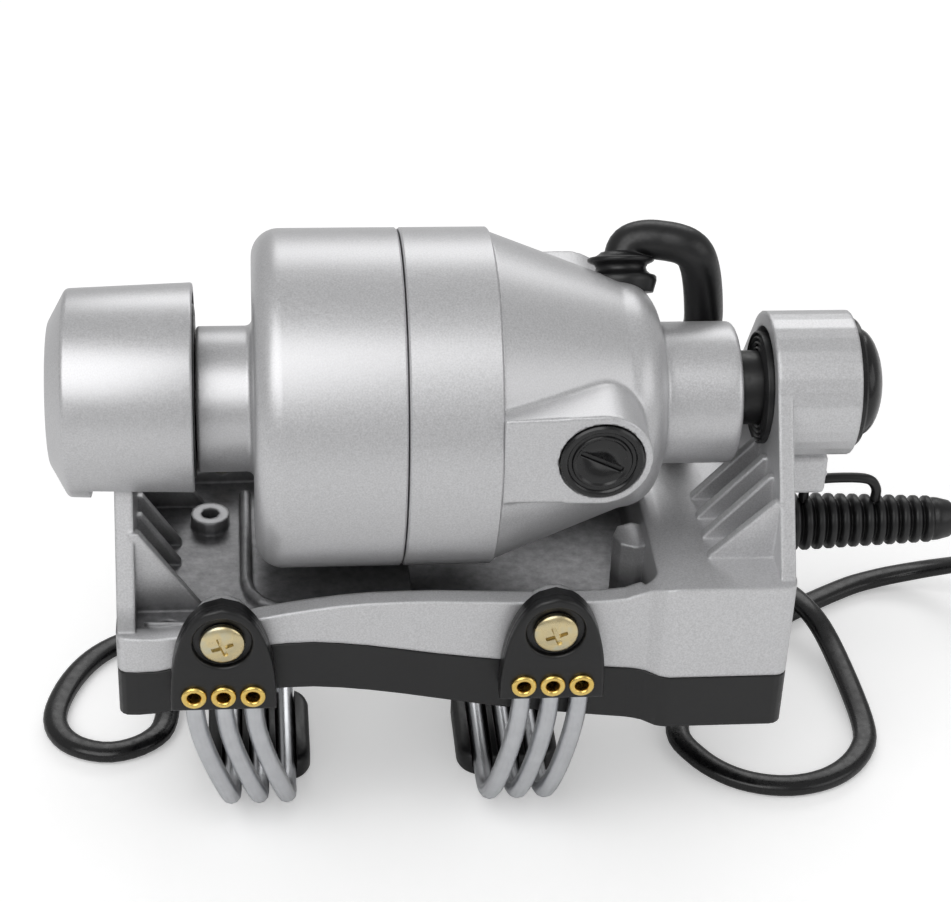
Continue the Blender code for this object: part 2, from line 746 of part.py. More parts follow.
def cradle_shell():
    """The two rails and the rear block, open above, with a keel that drops into the tray."""
    length_end = CRADLE_REAR_X
    frame = plate(
        "cradle_frame", plan(0, CRADLE_FRONT_X, length_end),
        AXIS_Z - DROP_SCALE, AXIS_Z, "XY", "cast_silver",
    )
    band = side_band("rail_band", side_line(1), side_line(2), side_line(3), side_line(4))
    combine(frame, band, "INTERSECT")
    keel_front = CRADLE_FRONT_X + INSET_WALL
    under = plate(
        "under_floor", plan(INSET_WALL + GAP, keel_front + GAP, BLOCK_FRONT_X - GAP),
        AXIS_Z - DROP_SCALE - OVERRUN, FLOOR_Z - FLOOR_WALL / 2, "XY",
    )
    cut(frame, under)
    keel = plate(
        "keel", plan(INSET_WALL, keel_front, BLOCK_FRONT_X),
        FLOOR_Z - FLOOR_WALL, FLOOR_Z + FLOOR_WALL, "XY",
    )
    pocket_keel = plate(
        "pocket_keel", plan(INSET_WALL + GAP * 2, SEAM_X, BLOCK_FRONT_X + BLOCK_WALL),
        POCKET_Z - FLOOR_WALL, FLOOR_Z - FLOOR_WALL / 3, "XY",
    )
    join(frame, keel, pocket_keel)
    well = plate(
        "well", plan(RAIL_WALL, FRONT_PLATE_END_X - OVERRUN, BLOCK_FRONT_X),
        FLOOR_Z, AXIS_Z, "XY",
    )
    pocket = plate(
        "pocket", plan(RAIL_WALL + FLOOR_WALL, SEAM_X + FLOOR_WALL, BLOCK_FRONT_X),
        POCKET_Z, AXIS_Z, "XY",
    )
    hollow = plate(
        "block_hollow", plan(BLOCK_WALL + TRAY_WALL, BLOCK_FRONT_X + BLOCK_WALL * 2,
                             CRADLE_REAR_X - BLOCK_WALL),
        AXIS_Z - DROP_SCALE - OVERRUN, BLOCK_TOP_Z - BLOCK_WALL, "XY",
    )
    cut(frame, well, pocket, hollow)
    return frame


def add_front_upright(frame):
    foot_z = FLOOR_Z - FLOOR_WALL / 2
    outline = upright_outline(
        front_ring_radius() - GAP, FRONT_PLATE_HALF_WIDTH, foot_z, FRONT_PLATE_NARROW_DROP
    )
    upright = plate("front_upright", outline, FRONT_PLATE_X, FRONT_PLATE_END_X, "YZ")
    ring = cylinder(
        "front_ring", front_ring_radius(), RING_FRONT_X, FRONT_PLATE_END_X - GAP,
        (0, 0, AXIS_Z), "+X", steps=FINE_STEPS,
    )
    join(frame, upright, ring)
    for place_share, share in FRONT_RIB_SHARES:
        join(frame, rib("front_rib", FRONT_PLATE_END_X, 1, FLOOR_Z, FRONT_RIB_HEIGHT * share,
                        FRONT_RIB_LENGTH * share, place_share * CRADLE_HALF_WIDTH))
    bore = cylinder(
        "front_bore", RING_FRONT_BORE, RING_FRONT_X - OVERRUN, FRONT_PLATE_END_X + OVERRUN,
        (0, 0, AXIS_Z), "+X", steps=MID_STEPS,
    )
    cut(frame, bore)


def add_rear_upright(frame):
    outline = upright_outline(
        RING_REAR_RADIUS - GAP, REAR_PLATE_HALF_WIDTH, BLOCK_TOP_Z - BLOCK_WALL / 2
    )
    upright = plate("rear_upright", outline, REAR_PLATE_X, CRADLE_REAR_X - GAP, "YZ")
    ring = cylinder(
        "rear_ring", RING_REAR_RADIUS, REAR_PLATE_X + GAP, RING_REAR_END_X,
        (0, 0, AXIS_Z), "+X", steps=FINE_STEPS,
    )
    lug = box(
        "clamp_lug",
        (CRADLE_REAR_X - REAR_PLATE / 2, -CLAMP_LUG_HALF_WIDTH,
         AXIS_Z - CLAMP_DROP - CLAMP_LUG_HALF_HEIGHT),
        (CRADLE_REAR_X + CLAMP_LUG_WIDTH, CLAMP_LUG_HALF_WIDTH,
         AXIS_Z - RING_REAR_BORE - CLAMP_SLIT),
    )
    soften(lug, RAIL_EDGE_RADIUS)
    join(frame, upright, ring, lug)
    for place_share, share in REAR_RIB_SHARES:
        join(frame, rib("rear_rib", REAR_PLATE_X, -1, BLOCK_TOP_Z, REAR_RIB_HEIGHT * share,
                        REAR_RIB_LENGTH, place_share * CRADLE_HALF_WIDTH))
    bore = cylinder(
        "rear_bore", RING_REAR_BORE, REAR_PLATE_X - OVERRUN, RING_REAR_END_X + OVERRUN,
        (0, 0, AXIS_Z), "+X", steps=FINE_STEPS,
    )
    slit = box(
        "clamp_slit",
        (CRADLE_REAR_X + GAP, -CLAMP_SLIT / 2, AXIS_Z - CLAMP_DROP - CLAMP_LUG_HALF_HEIGHT - OVERRUN),
        (RING_REAR_END_X + OVERRUN, CLAMP_SLIT / 2, AXIS_Z - RING_REAR_BORE / 2),
    )
    clamp_hole = cylinder(
        "clamp_hole", CLAMP_SCREW_RADIUS + GAP, -CLAMP_LUG_HALF_WIDTH + RAIL_WALL / 2,
        CLAMP_LUG_HALF_WIDTH + OVERRUN, clamp_centre(), "+Y", steps=TINY_STEPS,
    )
    cut(frame, bore, slit, clamp_hole)


def clamp_centre():
    return (RING_REAR_END_X - CLAMP_FROM_END, 0, AXIS_Z - CLAMP_DROP)


def front_ring_radius():
    """The ring that the cap is pushed over."""
    along = (CAP_RIM_X - RING_FRONT_X) / CAP_LENGTH
    outer = CAP_RIM_RADIUS + (CAP_END_RADIUS - CAP_RIM_RADIUS) * along
    return outer - CAP_WALL - GAP


def add_floor_details(frame):
    collar = turned(
        "boss_collar",
        [(0, BOSS_A_HEIGHT), (BOSS_A_RADIUS, BOSS_A_HEIGHT),
         (BOSS_A_RADIUS, -FLOOR_WALL / 2), (0, -FLOOR_WALL / 2)],
        (CRADLE_FRONT_X + BOSS_A_FROM_FRONT, BOSS_A_Y, FLOOR_Z), "+Z", steps=SMALL_STEPS,
    )
    pillar = cylinder(
        "pocket_pillar", PILLAR_RADIUS, POCKET_Z - FLOOR_WALL / 2, BLOCK_TOP_Z - PILLAR_RADIUS,
        (CRADLE_REAR_X - PILLAR_FROM_REAR, PILLAR_Y, 0), "+Z", steps=TINY_STEPS,
    )
    bar_x = CRADLE_FRONT_X + FLOOR_BAR_FROM_FRONT
    bar_y = RAIL_WALL + FLOOR_BAR_WIDTH - half_width(bar_x)
    bar = box(
        "floor_bar",
        (bar_x, bar_y - FLOOR_BAR_WIDTH / 2, FLOOR_Z - FLOOR_WALL / 2),
        (bar_x + FLOOR_BAR_LENGTH, bar_y + FLOOR_BAR_WIDTH / 2, FLOOR_Z + FLOOR_BAR_HEIGHT),
    )
    join(frame, collar, pillar, bar, floor_lip())
    for x, y in (
        (CRADLE_FRONT_X + BOSS_A_FROM_FRONT, BOSS_A_Y),
        (CRADLE_FRONT_X + BOSS_B_FROM_FRONT + FRONT_PLATE, BOSS_B_Y),
    ):
        cut(frame, cylinder(
            "floor_hole", FLOOR_HOLE_RADIUS, FLOOR_Z - FLOOR_WALL * 2, FLOOR_Z + OVERRUN * 2,
            (x, y, 0), "+Z", steps=TINY_STEPS,
        ))


def floor_lip():
    """The bead on the floor that follows the front corner of the motor."""
    x = BODY_FRONT_X - LIP_STAND_OFF
    z = FLOOR_Z + LIP_RADIUS * LIP_TOP_SHARE
    corner = [
        (px, py, z)
        for px, py in arc((x + LIP_CORNER, LIP_SIDE_Y + LIP_CORNER), LIP_CORNER, 180, 270)
    ]
    path = [(x, -LIP_SIDE_Y, z), *corner, (x + LIP_CORNER + LIP_REACH, LIP_SIDE_Y, z)]
    return as_mesh(tube("lip_line", path, LIP_RADIUS, 2), "floor_lip")


def add_strap_ears(frame):
    for x, drop in ((FRONT_TAB_X, FRONT_TAB_DROP), (REAR_TAB_X, REAR_TAB_DROP)):
        face = tab_seat_y(x) - GAP
        for side in (-1, 1):
            direction = "+Y" if side > 0 else "-Y"
            ear = cylinder(
                "strap_ear", EAR_RADIUS, face - RAIL_WALL, face,
                (x, 0, AXIS_Z - drop), direction, steps=SMALL_STEPS,
            )
            hole = cylinder(
                "strap_hole", SCREW_RADIUS + GAP, face - RAIL_WALL - GAP * 4, face + OVERRUN,
                (x, 0, AXIS_Z - drop), direction, steps=TINY_STEPS,
            )
            join(frame, ear)
            cut(frame, hole)


def tab_seat_y(x):
    """The plane that a tab lies on: just outside the widest part of the side behind it."""
    return max(half_width(x - TAB_HALF_WIDTH), half_width(x), half_width(x + TAB_HALF_WIDTH)) + GAP


def relief_centre():
    return (CRADLE_REAR_X, RELIEF_Y, AXIS_Z - RELIEF_DROP)


def make_cradle():
    frame = cradle_shell()
    add_front_upright(frame)
    add_rear_upright(frame)
    add_floor_details(frame)
    add_strap_ears(frame)
    lead_hole = cylinder(
        "lead_hole", LEAD_HOLE_RADIUS, BLOCK_TOP_Z - BLOCK_WALL - OVERRUN, BLOCK_TOP_Z + OVERRUN,
        (LEAD_FOOT_X, LEAD_FOOT_Y, 0), "+Z", steps=TINY_STEPS,
    )
    cut(frame, lead_hole)


def make_tray():
    tray = plate(
        "base_tray", plan(0, CRADLE_FRONT_X, CRADLE_REAR_X),
        AXIS_Z - DROP_SCALE - OVERRUN, AXIS_Z, "XY", "black_rubber",
    )
    underside = stretched(drop_line(TRAY_SHARES))
    band = side_band("tray_band", lowered(side_line(3), GAP), lowered(side_line(4), GAP),
                     underside, underside)
    combine(tray, band, "INTERSECT")
    inlet_low = AXIS_Z - DROP_SCALE + TRAY_FLOOR
    inlet = box(
        "cord_inlet",
        (CRADLE_REAR_X + GAP, RELIEF_Y - INLET_HALF_WIDTH, inlet_low),
        (CRADLE_REAR_X + INLET_LENGTH, RELIEF_Y + INLET_HALF_WIDTH, AXIS_Z - INLET_TOP_DROP),
    )
    soften(inlet, INLET_CORNER / 2)
    foot = box(
        "inlet_foot",
        (CRADLE_REAR_X - TRAY_WALL, RELIEF_Y - INLET_HALF_WIDTH + INLET_CORNER,
         inlet_low + INLET_CORNER / 2),
        (CRADLE_REAR_X + INLET_LENGTH / 2, RELIEF_Y + INLET_HALF_WIDTH - INLET_CORNER,
         AXIS_Z - SIDE_SHARES[-1][-1] * DROP_SCALE - GAP * 2),
    )
    join(inlet, foot)
    join(tray, inlet)
    keel_front = CRADLE_FRONT_X + TRAY_WALL
    seat = plate(
        "keel_seat", plan(TRAY_WALL, keel_front, BLOCK_FRONT_X + GAP),
        FLOOR_Z - FLOOR_WALL - GAP, AXIS_Z, "XY",
    )
    pocket_seat = plate(
        "pocket_seat", plan(INSET_WALL + GAP, SEAM_X - GAP, BLOCK_FRONT_X + BLOCK_WALL + GAP),
        POCKET_Z - FLOOR_WALL - GAP, AXIS_Z, "XY",
    )
    wire_room = plate(
        "wire_room", plan(BLOCK_WALL + TRAY_WALL, BLOCK_FRONT_X + BLOCK_WALL * 2,
                          CRADLE_REAR_X - BLOCK_WALL),
        AXIS_Z - TRAY_SHARES[-1][1] * DROP_SCALE + TRAY_FLOOR, AXIS_Z, "XY",
    )
    x, y, z = relief_centre()
    cord_hole = cylinder(
        "cord_hole", CORD_RADIUS, x - OVERRUN * 2, x + INLET_LENGTH + OVERRUN,
        (0, y, z), "+X", steps=TINY_STEPS,
    )
    cut(tray, seat, pocket_seat, wire_room, cord_hole)


# Motor housing


def front_shell_profile():
    corner = arc((BODY_RADIUS - BODY_CORNER, BODY_FRONT_X + BODY_CORNER), BODY_CORNER, 0, -90)
    face = SEAM_X - SEAM_GAP / 2
    inner = BODY_RADIUS - SHELL_WALL
    inside_front = BODY_FRONT_X + SHELL_WALL
    bore = BEARING_RADIUS + GAP
    stud_end = RING_FRONT_X
    return [
        (inner, face),
        (BODY_RADIUS - SEAM_CHAMFER, face),
        (BODY_RADIUS, face - SEAM_CHAMFER),
        *corner,
        (FRONT_NECK_RADIUS, BODY_FRONT_X),
        (FRONT_NECK_RADIUS, FRONT_NECK_END_X + STUD_CHAMFER),
        (FRONT_NECK_RADIUS - STUD_CHAMFER, FRONT_NECK_END_X),
        (FRONT_STUD_RADIUS, FRONT_NECK_END_X),
        (FRONT_STUD_RADIUS, stud_end + STUD_CHAMFER),
        (FRONT_STUD_RADIUS - STUD_CHAMFER, stud_end),
        (0, stud_end),
        (0, front_bearing_x() - GAP - NECK_WALL / 2),
        (SHAFT_RADIUS + GAP * 2, front_bearing_x() - GAP - NECK_WALL / 2),
        (SHAFT_RADIUS + GAP * 2, front_bearing_x() - GAP),
        (bore, front_bearing_x() - GAP),
        (bore, inside_front),
        (inner, inside_front),
    ]


def front_bearing_x():
    return FRONT_NECK_END_X + NECK_WALL + GAP


def rear_bearing_x():
    return REAR_NECK_END_X - NECK_WALL - GAP - BEARING_WIDTH


def turned_ends_on_axis(name, profile, material=None, steps=FINE_STEPS):
    """A hollow turned piece whose bore ends on the axis, so its profile is one open line."""
    start = profile.index(next(point for point in profile if point[0] == 0))
    ordered = profile[start + 1:] + profile[:start + 1]
    return turned(name, ordered, (0, 0, MOTOR_Z), "+X", material, steps)


def make_front_shell():
    turned_ends_on_axis("motor_front_shell", front_shell_profile(), "cap_silver")


def rear_outer_profile():
    face = SEAM_X + SEAM_GAP / 2
    cone_start = BODY_RADIUS - CONE_STEP
    shoulder = [
        (REAR_NECK_RADIUS + (CONE_END_RADIUS - REAR_NECK_RADIUS) * math.cos(angle),
         CONE_END_X + SHOULDER_LENGTH * math.sin(angle))
        for angle in (QUARTER * i / ARC_POINTS for i in range(ARC_POINTS, 0, -1))
    ]
    return [
        (0, RING_REAR_END_X - PLUG_SEAT_LENGTH - GAP * 2),
        (REAR_STUD_RADIUS, RING_REAR_END_X - PLUG_SEAT_LENGTH - GAP * 2),
        (REAR_STUD_RADIUS, REAR_NECK_END_X),
        (REAR_NECK_RADIUS - STUD_CHAMFER, REAR_NECK_END_X),
        (REAR_NECK_RADIUS, REAR_NECK_END_X - STUD_CHAMFER),
        *shoulder,
        (CONE_END_RADIUS, CONE_END_X),
        (cone_start, DRUM_END_X),
        (BODY_RADIUS, DRUM_END_X),
        (BODY_RADIUS, face + SEAM_CHAMFER),
        (BODY_RADIUS - SEAM_CHAMFER, face),
        (0, face),
    ]


def rear_inner_profile():
    inner = BODY_RADIUS - SHELL_WALL
    bore = BEARING_RADIUS + GAP
    return [
        (0, REAR_NECK_END_X - NECK_WALL),
        (bore, REAR_NECK_END_X - NECK_WALL),
        (bore, rear_bearing_x() - GAP),
        (REAR_NECK_RADIUS - NECK_WALL / 2, CONE_END_X),
        (CONE_END_RADIUS - SHELL_WALL, CONE_END_X - SHELL_WALL),
        (inner - SHELL_WALL / 2, DRUM_END_X),
        (inner, DRUM_END_X - SHELL_WALL),
        (inner, SEAM_X - OVERRUN),
        (0, SEAM_X - OVERRUN),
    ]


def arm_outline():
    """The arm's face: from inside the drum to the round boss."""
    start = DRUM_END_X - REAR_DRUM_LENGTH / 2
    boss = arc((BOSS_X, BRUSH_Z), BOSS_RADIUS, -90, 90, ARC_POINTS * 2)
    return [
        (start, BRUSH_Z - ARM_HALF_HEIGHT),
        (DRUM_END_X, BRUSH_Z - ARM_HALF_HEIGHT),
        *boss,
        (DRUM_END_X, BRUSH_Z + ARM_HALF_HEIGHT),
        (start, BRUSH_Z + ARM_HALF_HEIGHT),
    ]


def make_rear_shell():
    motor_axis = (0, 0, MOTOR_Z)
    shell = turned("motor_rear_shell", rear_outer_profile(), motor_axis, "+X", "cap_silver",
                   FINE_STEPS)
    arm = plate("brush_arms", arm_outline(), -ARM_FACE_Y, ARM_FACE_Y, "XZ")
    inside = turned("rear_inside", rear_inner_profile(), motor_axis, "+X", steps=MID_STEPS)
    join(shell, arm)
    cut(shell, inside)
    for side in (-1, 1):
        direction = "+Y" if side > 0 else "-Y"
        at = (BOSS_X, 0, BRUSH_Z)
        holder_start = COMMUTATOR_RISER + GAP * 2
        guide = cylinder("brush_guide", BRUSH_TUBE_RADIUS, holder_start, ARM_FACE_Y - SHELL_WALL,
                         at, direction, steps=TINY_STEPS)
        seat_floor = ARM_FACE_Y - BRUSH_CAP_DEPTH - GAP
        bore = turned("brush_bore", [
            (0, ARM_FACE_Y + OVERRUN), (BRUSH_CAP_RADIUS + GAP, ARM_FACE_Y + OVERRUN),
            (BRUSH_CAP_RADIUS + GAP, seat_floor), (BRUSH_BORE_RADIUS, seat_floor),
            (BRUSH_BORE_RADIUS, holder_start - OVERRUN / 2), (0, holder_start - OVERRUN / 2),
        ], at, direction, steps=SMALL_STEPS)
        join(shell, guide)
        cut(shell, bore)
    lead_hole = cylinder("cone_lead_hole", LEAD_HOLE_RADIUS, -LEAD_COLLAR_LENGTH * 2, OVERRUN,
                         collar_centre(), "+Z", steps=TINY_STEPS)
    lead_hole.rotation_euler = (-math.radians(LEAD_COLLAR_TURN), 0, 0)
    oil_hole = cylinder("oil_hole", OIL_HOLE_RADIUS, 0, BODY_RADIUS,
                        (DRUM_END_X + OIL_HOLE_FROM_CONE, 0, MOTOR_Z - OIL_HOLE_RISE), "+Y",
                        steps=TINY_STEPS)
    cut(shell, lead_hole, oil_hole)


def cone_radius(x):
    share = (x - DRUM_END_X) / CONE_LENGTH
    start = BODY_RADIUS - CONE_STEP
    return start + (CONE_END_RADIUS - start) * share


def collar_centre():
    """Where the lead's collar sits on the shoulder of the housing."""
    x = LEAD_COLLAR_X
    share = (x - CONE_END_X) / SHOULDER_LENGTH
    radius = REAR_NECK_RADIUS + (CONE_END_RADIUS - REAR_NECK_RADIUS) * math.sqrt(1 - share**2)
    out = collar_direction()
    return Vector((x, 0, MOTOR_Z)) + out * radius


def collar_direction():
    """The way out of the housing at the lead's collar."""
    turn = math.radians(LEAD_COLLAR_TURN)
    return Vector((0, math.sin(turn), math.cos(turn)))


def make_brushes():
    for side, word in ((-1, "near"), (1, "far")):
        direction = "+Y" if side > 0 else "-Y"
        at = (BOSS_X, 0, BRUSH_Z)
        top = ARM_FACE_Y + BRUSH_CAP_PROUD
        foot = ARM_FACE_Y - BRUSH_CAP_DEPTH
        lip = BRUSH_CAP_PROUD
        profile = [
            (0, top - lip / 2), (BRUSH_CAP_RING, top - lip / 2), (BRUSH_CAP_RING, top - lip),
            (BRUSH_CAP_RING + lip, top - lip), (BRUSH_CAP_RING + lip, top),
            (BRUSH_CAP_RADIUS - lip, top), (BRUSH_CAP_RADIUS, top - lip), (BRUSH_CAP_RADIUS, foot),
            (0, foot),
        ]
        cap = turned("brush_cap_" + word, profile, at, direction, "black_plastic", SMALL_STEPS)
        reach = side * (top - lip / 2)
        inner = reach - side * BRUSH_SLOT_DEPTH
        outer = reach + side * OVERRUN
        cut(cap, box(
            "brush_slot",
            (BOSS_X - BRUSH_CAP_RING + lip, min(inner, outer), BRUSH_Z - BRUSH_SLOT_WIDTH / 2),
            (BOSS_X + BRUSH_CAP_RING - lip, max(inner, outer), BRUSH_Z + BRUSH_SLOT_WIDTH / 2),
        ))
        near_y = COMMUTATOR_RADIUS + GAP
        far_y = near_y + BRUSH_LENGTH
        low_y, high_y = sorted((side * near_y, side * far_y))
        box(
            "carbon_brush_" + word,
            (BOSS_X - BRUSH_WIDTH / 2, low_y, BRUSH_Z - BRUSH_HEIGHT / 2),
            (BOSS_X + BRUSH_WIDTH / 2, high_y, BRUSH_Z + BRUSH_HEIGHT / 2),
            "carbon",
        )
        start = far_y + GAP
        end = foot - GAP
        outer = BRUSH_HEIGHT / 2
        turned("brush_spring_" + word, [
            (outer, end), (outer, start), (outer - BRUSH_WIRE, start), (outer - BRUSH_WIRE, end),
        ], at, direction, "spring_steel", TINY_STEPS, closed=True)


def helix_on(path, radius, curls, curl_points, wire):
    """A helix along a path, its ends run straight for one wire across."""
    count = curls * curl_points + 1
    spine = read_at_equal_lengths(path, count + 2)
    total = length_of(spine)
    lead = wire * 2
    points = []
    side = None
    for i in range(count):
        goal = lead + (total - lead * 2) * i / (count - 1)
        centre, along = point_on(spine, goal)
        if side is None:
            side = along.orthogonal().normalized()
        side = (side - along * side.dot(along)).normalized()
        other = along.cross(side)
        angle = 2 * math.pi * i / curl_points
        points.append(centre + (side * math.cos(angle) + other * math.sin(angle)) * radius)
    first_along = (spine[1] - spine[0]).normalized()
    last_along = (spine[-1] - spine[-2]).normalized()
    return [points[0] - first_along * lead * 0.9, *points, points[-1] + last_along * lead * 0.9]


def point_on(spine, goal):
    for a, b in zip(spine, spine[1:]):
        step = (b - a).length
        if goal <= step:
            return a.lerp(b, goal / step), (b - a).normalized()
        goal -= step
    return spine[-1].copy(), (spine[-1] - spine[-2]).normalized()


# Rotor and stator


def make_rotor():
    motor_axis = (0, 0, MOTOR_Z)
    shaft_front = front_bearing_x() - GAP
    shaft_rear = rear_bearing_x() + BEARING_WIDTH + GAP
    chamfer = STUD_CHAMFER
    turned("rotor_shaft", [
        (0, shaft_rear), (SHAFT_RADIUS - chamfer, shaft_rear), (SHAFT_RADIUS, shaft_rear - chamfer),
        (SHAFT_RADIUS, shaft_front + chamfer), (SHAFT_RADIUS - chamfer, shaft_front),
        (0, shaft_front),
    ], motor_axis, "+X", "bare_steel", SMALL_STEPS)
    for name, x in (("front_bearing", front_bearing_x()), ("rear_bearing", rear_bearing_x())):
        ring("%s" % name, SHAFT_RADIUS + GAP, BEARING_RADIUS, x, x + BEARING_WIDTH, "bare_steel",
             groove=BEARING_GROOVE)
    core_start = armature_start()
    core_end = core_start + ARMATURE_LENGTH
    core = ring("armature_core", SHAFT_RADIUS + GAP, ARMATURE_RADIUS, core_start, core_end,
                "core_steel")
    for i in range(ARMATURE_SLOTS):
        core_slot(core, i, core_start, core_end)
    ring("front_winding", SHAFT_RADIUS + GAP, WINDING_RADIUS, core_start - GAP - WINDING_LENGTH,
         core_start - GAP, "copper", groove=WINDING_LENGTH / 4)
    rear_end = core_end + GAP + WINDING_LENGTH
    ring("rear_winding", SHAFT_RADIUS + GAP, WINDING_RADIUS, core_end + GAP, rear_end, "copper",
         groove=WINDING_LENGTH / 4)
    make_weight(rear_end + GAP + COIL_WIRE_RADIUS)
    start = BOSS_X - COMMUTATOR_LENGTH / 2
    turned("commutator", [
        (COMMUTATOR_RADIUS, start + COMMUTATOR_LENGTH),
        (COMMUTATOR_RADIUS, start),
        (COMMUTATOR_RADIUS, start - BRUSH_CAP_PROUD),
        (COMMUTATOR_RISER, start - BRUSH_CAP_PROUD),
        (COMMUTATOR_RISER, start - SHELL_WALL),
        (SHAFT_RADIUS + GAP, start - SHELL_WALL),
        (SHAFT_RADIUS + GAP, start + COMMUTATOR_LENGTH),
    ], motor_axis, "+X", "copper", SMALL_STEPS, closed=True)


def armature_start():
    stator_start = BODY_FRONT_X + STATOR_FROM_BODY
    return stator_start + (STATOR_LENGTH - ARMATURE_LENGTH) / 2


def ring(name, inner, outer, start, end, material, groove=0, steps=SMALL_STEPS):
    """A ring on the motor's axis, its corners broken by groove."""
    profile = [
        (outer - groove, end), (outer, end - groove), (outer, start + groove),
        (outer - groove, start), (inner, start), (inner, end),
    ]
    if not groove:
        profile = [(outer, end), (outer, start), (inner, start), (inner, end)]
    return turned(name, profile, (0, 0, MOTOR_Z), "+X", material, steps, closed=True)


def core_slot(core, number, start, end):
    """One winding slot of the armature, cut by a box turned about the shaft."""
    half = SLOT_WIDTH / 2
    mesh = bpy.data.meshes.new("core_slot")
    shape = bmesh.new()
    bmesh.ops.create_cube(shape, size=1)
    size = (end - start + OVERRUN, SLOT_WIDTH, SLOT_DEPTH + OVERRUN)
    bmesh.ops.scale(shape, vec=size, verts=shape.verts)
    lift = ARMATURE_RADIUS - SLOT_DEPTH + size[2] / 2
    bmesh.ops.translate(shape, vec=(0, half - half, lift), verts=shape.verts)
    shape.to_mesh(mesh)
    shape.free()
    angle = 2 * math.pi * (number + 1 / 4) / ARMATURE_SLOTS
    cut(core, place("core_slot", mesh, ((start + end) / 2, 0, MOTOR_Z), (angle, 0, 0)))


def make_weight(start):
    """The half disc that makes the machine shake."""
    weight = ring("eccentric_weight", SHAFT_RADIUS + GAP, WEIGHT_RADIUS, start,
                  start + WEIGHT_LENGTH, "bare_steel")
    cutter = box(
        "weight_cut",
        (start - OVERRUN, -WEIGHT_RADIUS - OVERRUN, MOTOR_Z + WEIGHT_HUB_RADIUS / 2),
        (start + WEIGHT_LENGTH + OVERRUN, WEIGHT_RADIUS + OVERRUN, MOTOR_Z + WEIGHT_RADIUS + OVERRUN),
    )
    hub = cylinder("weight_hub", WEIGHT_HUB_RADIUS, start - OVERRUN * 2, start + WEIGHT_LENGTH + OVERRUN * 2,
                   (0, 0, MOTOR_Z), "+X")
    cut(cutter, hub)
    cut(weight, cutter)


def make_stator():
    start = BODY_FRONT_X + STATOR_FROM_BODY
    end = start + STATOR_LENGTH
    outer = BODY_RADIUS - SHELL_WALL - GAP
    inner = outer - STATOR_RING_WALL
    core = ring("stator_core", inner, outer, start, end, "core_steel", steps=MID_STEPS)
    poles = box(
        "poles",
        (start + GAP, -POLE_HALF_WIDTH, MOTOR_Z - inner - STATOR_RING_WALL / 2),
        (end - GAP, POLE_HALF_WIDTH, MOTOR_Z + inner + STATOR_RING_WALL / 2),
    )
    bore = cylinder("stator_bore", ARMATURE_RADIUS + AIR_GAP, start - OVERRUN, end + OVERRUN,
                    (0, 0, MOTOR_Z), "+X", steps=MID_STEPS)
    join(core, poles)
    cut(core, bore)
    middle = (start + end) / 2
    half_x = STATOR_LENGTH / 2 + COIL_WIRE_RADIUS + GAP
    half_y = POLE_HALF_WIDTH + COIL_WIRE_RADIUS + GAP
    corner = COIL_WIRE_RADIUS
    for word, rise in (("upper", COIL_RISE), ("lower", -COIL_RISE)):
        path = []
        for cx, cy, start_angle in ((1, 1, 0), (-1, 1, 90), (-1, -1, 180), (1, -1, 270)):
            centre = (middle + cx * (half_x - corner), cy * (half_y - corner))
            path += [(x, y, MOTOR_Z + rise) for x, y in arc(centre, corner, start_angle,
                                                           start_angle + 90, 3)]
        coil = tube("field_coil_line", path, COIL_WIRE_RADIUS, 2, closed=True)
        as_mesh(coil, "field_coil_" + word, "copper")


# Rubber mounts, cap and plug


def make_bushes():
    start = FRONT_PLATE_END_X + GAP
    end = FRONT_NECK_END_X - GAP
    depth = BUSH_GROOVE
    front = turned("front_bush", [
        (0, end), (FRONT_BUSH_RADIUS - depth, end), (FRONT_BUSH_RADIUS, end - depth),
        (FRONT_BUSH_RADIUS, start), (RING_FRONT_BORE - GAP, start),
        (RING_FRONT_BORE - GAP, RING_FRONT_X + depth), (RING_FRONT_BORE - GAP - depth, RING_FRONT_X),
        (0, RING_FRONT_X),
    ], (0, 0, AXIS_Z), "+X", "black_rubber", MID_STEPS)
    cut(front, cylinder("front_stud_bore", FRONT_STUD_RADIUS + GAP, RING_FRONT_X - OVERRUN,
                        end + OVERRUN, (0, 0, MOTOR_Z), "+X"))
    bush_start = REAR_PLATE_X - REAR_BUSH_LEAD
    bush_end = RING_REAR_END_X - PLUG_SEAT_LENGTH - GAP
    outer = RING_REAR_BORE - GAP
    pitch = (outer - REAR_SLEEVE_RADIUS) / (BUSH_RIDGES * 2)
    ridges = []
    for i in range(BUSH_RIDGES):
        radius = outer - i * pitch * 2
        ridges += [(radius, bush_start), (radius - pitch, bush_start),
                   (radius - pitch, bush_start + depth), (radius - pitch * 2, bush_start + depth)]
    bush = turned("rear_bush", [(0, bush_end), (outer, bush_end), *ridges,
                                (REAR_SLEEVE_RADIUS - pitch, bush_start + depth),
                                (0, bush_start + depth)],
                  (0, 0, AXIS_Z), "+X", "black_rubber", MID_STEPS)
    sleeve = cylinder("bush_sleeve", REAR_SLEEVE_RADIUS, REAR_NECK_END_X + GAP,
                      bush_start + depth * 2, (0, 0, MOTOR_Z), "+X", steps=SMALL_STEPS)
    join(bush, sleeve)
    cut(bush, cylinder("rear_stud_bore", REAR_STUD_RADIUS + GAP, REAR_NECK_END_X - OVERRUN,
                       RING_REAR_END_X + OVERRUN, (0, 0, MOTOR_Z), "+X"))


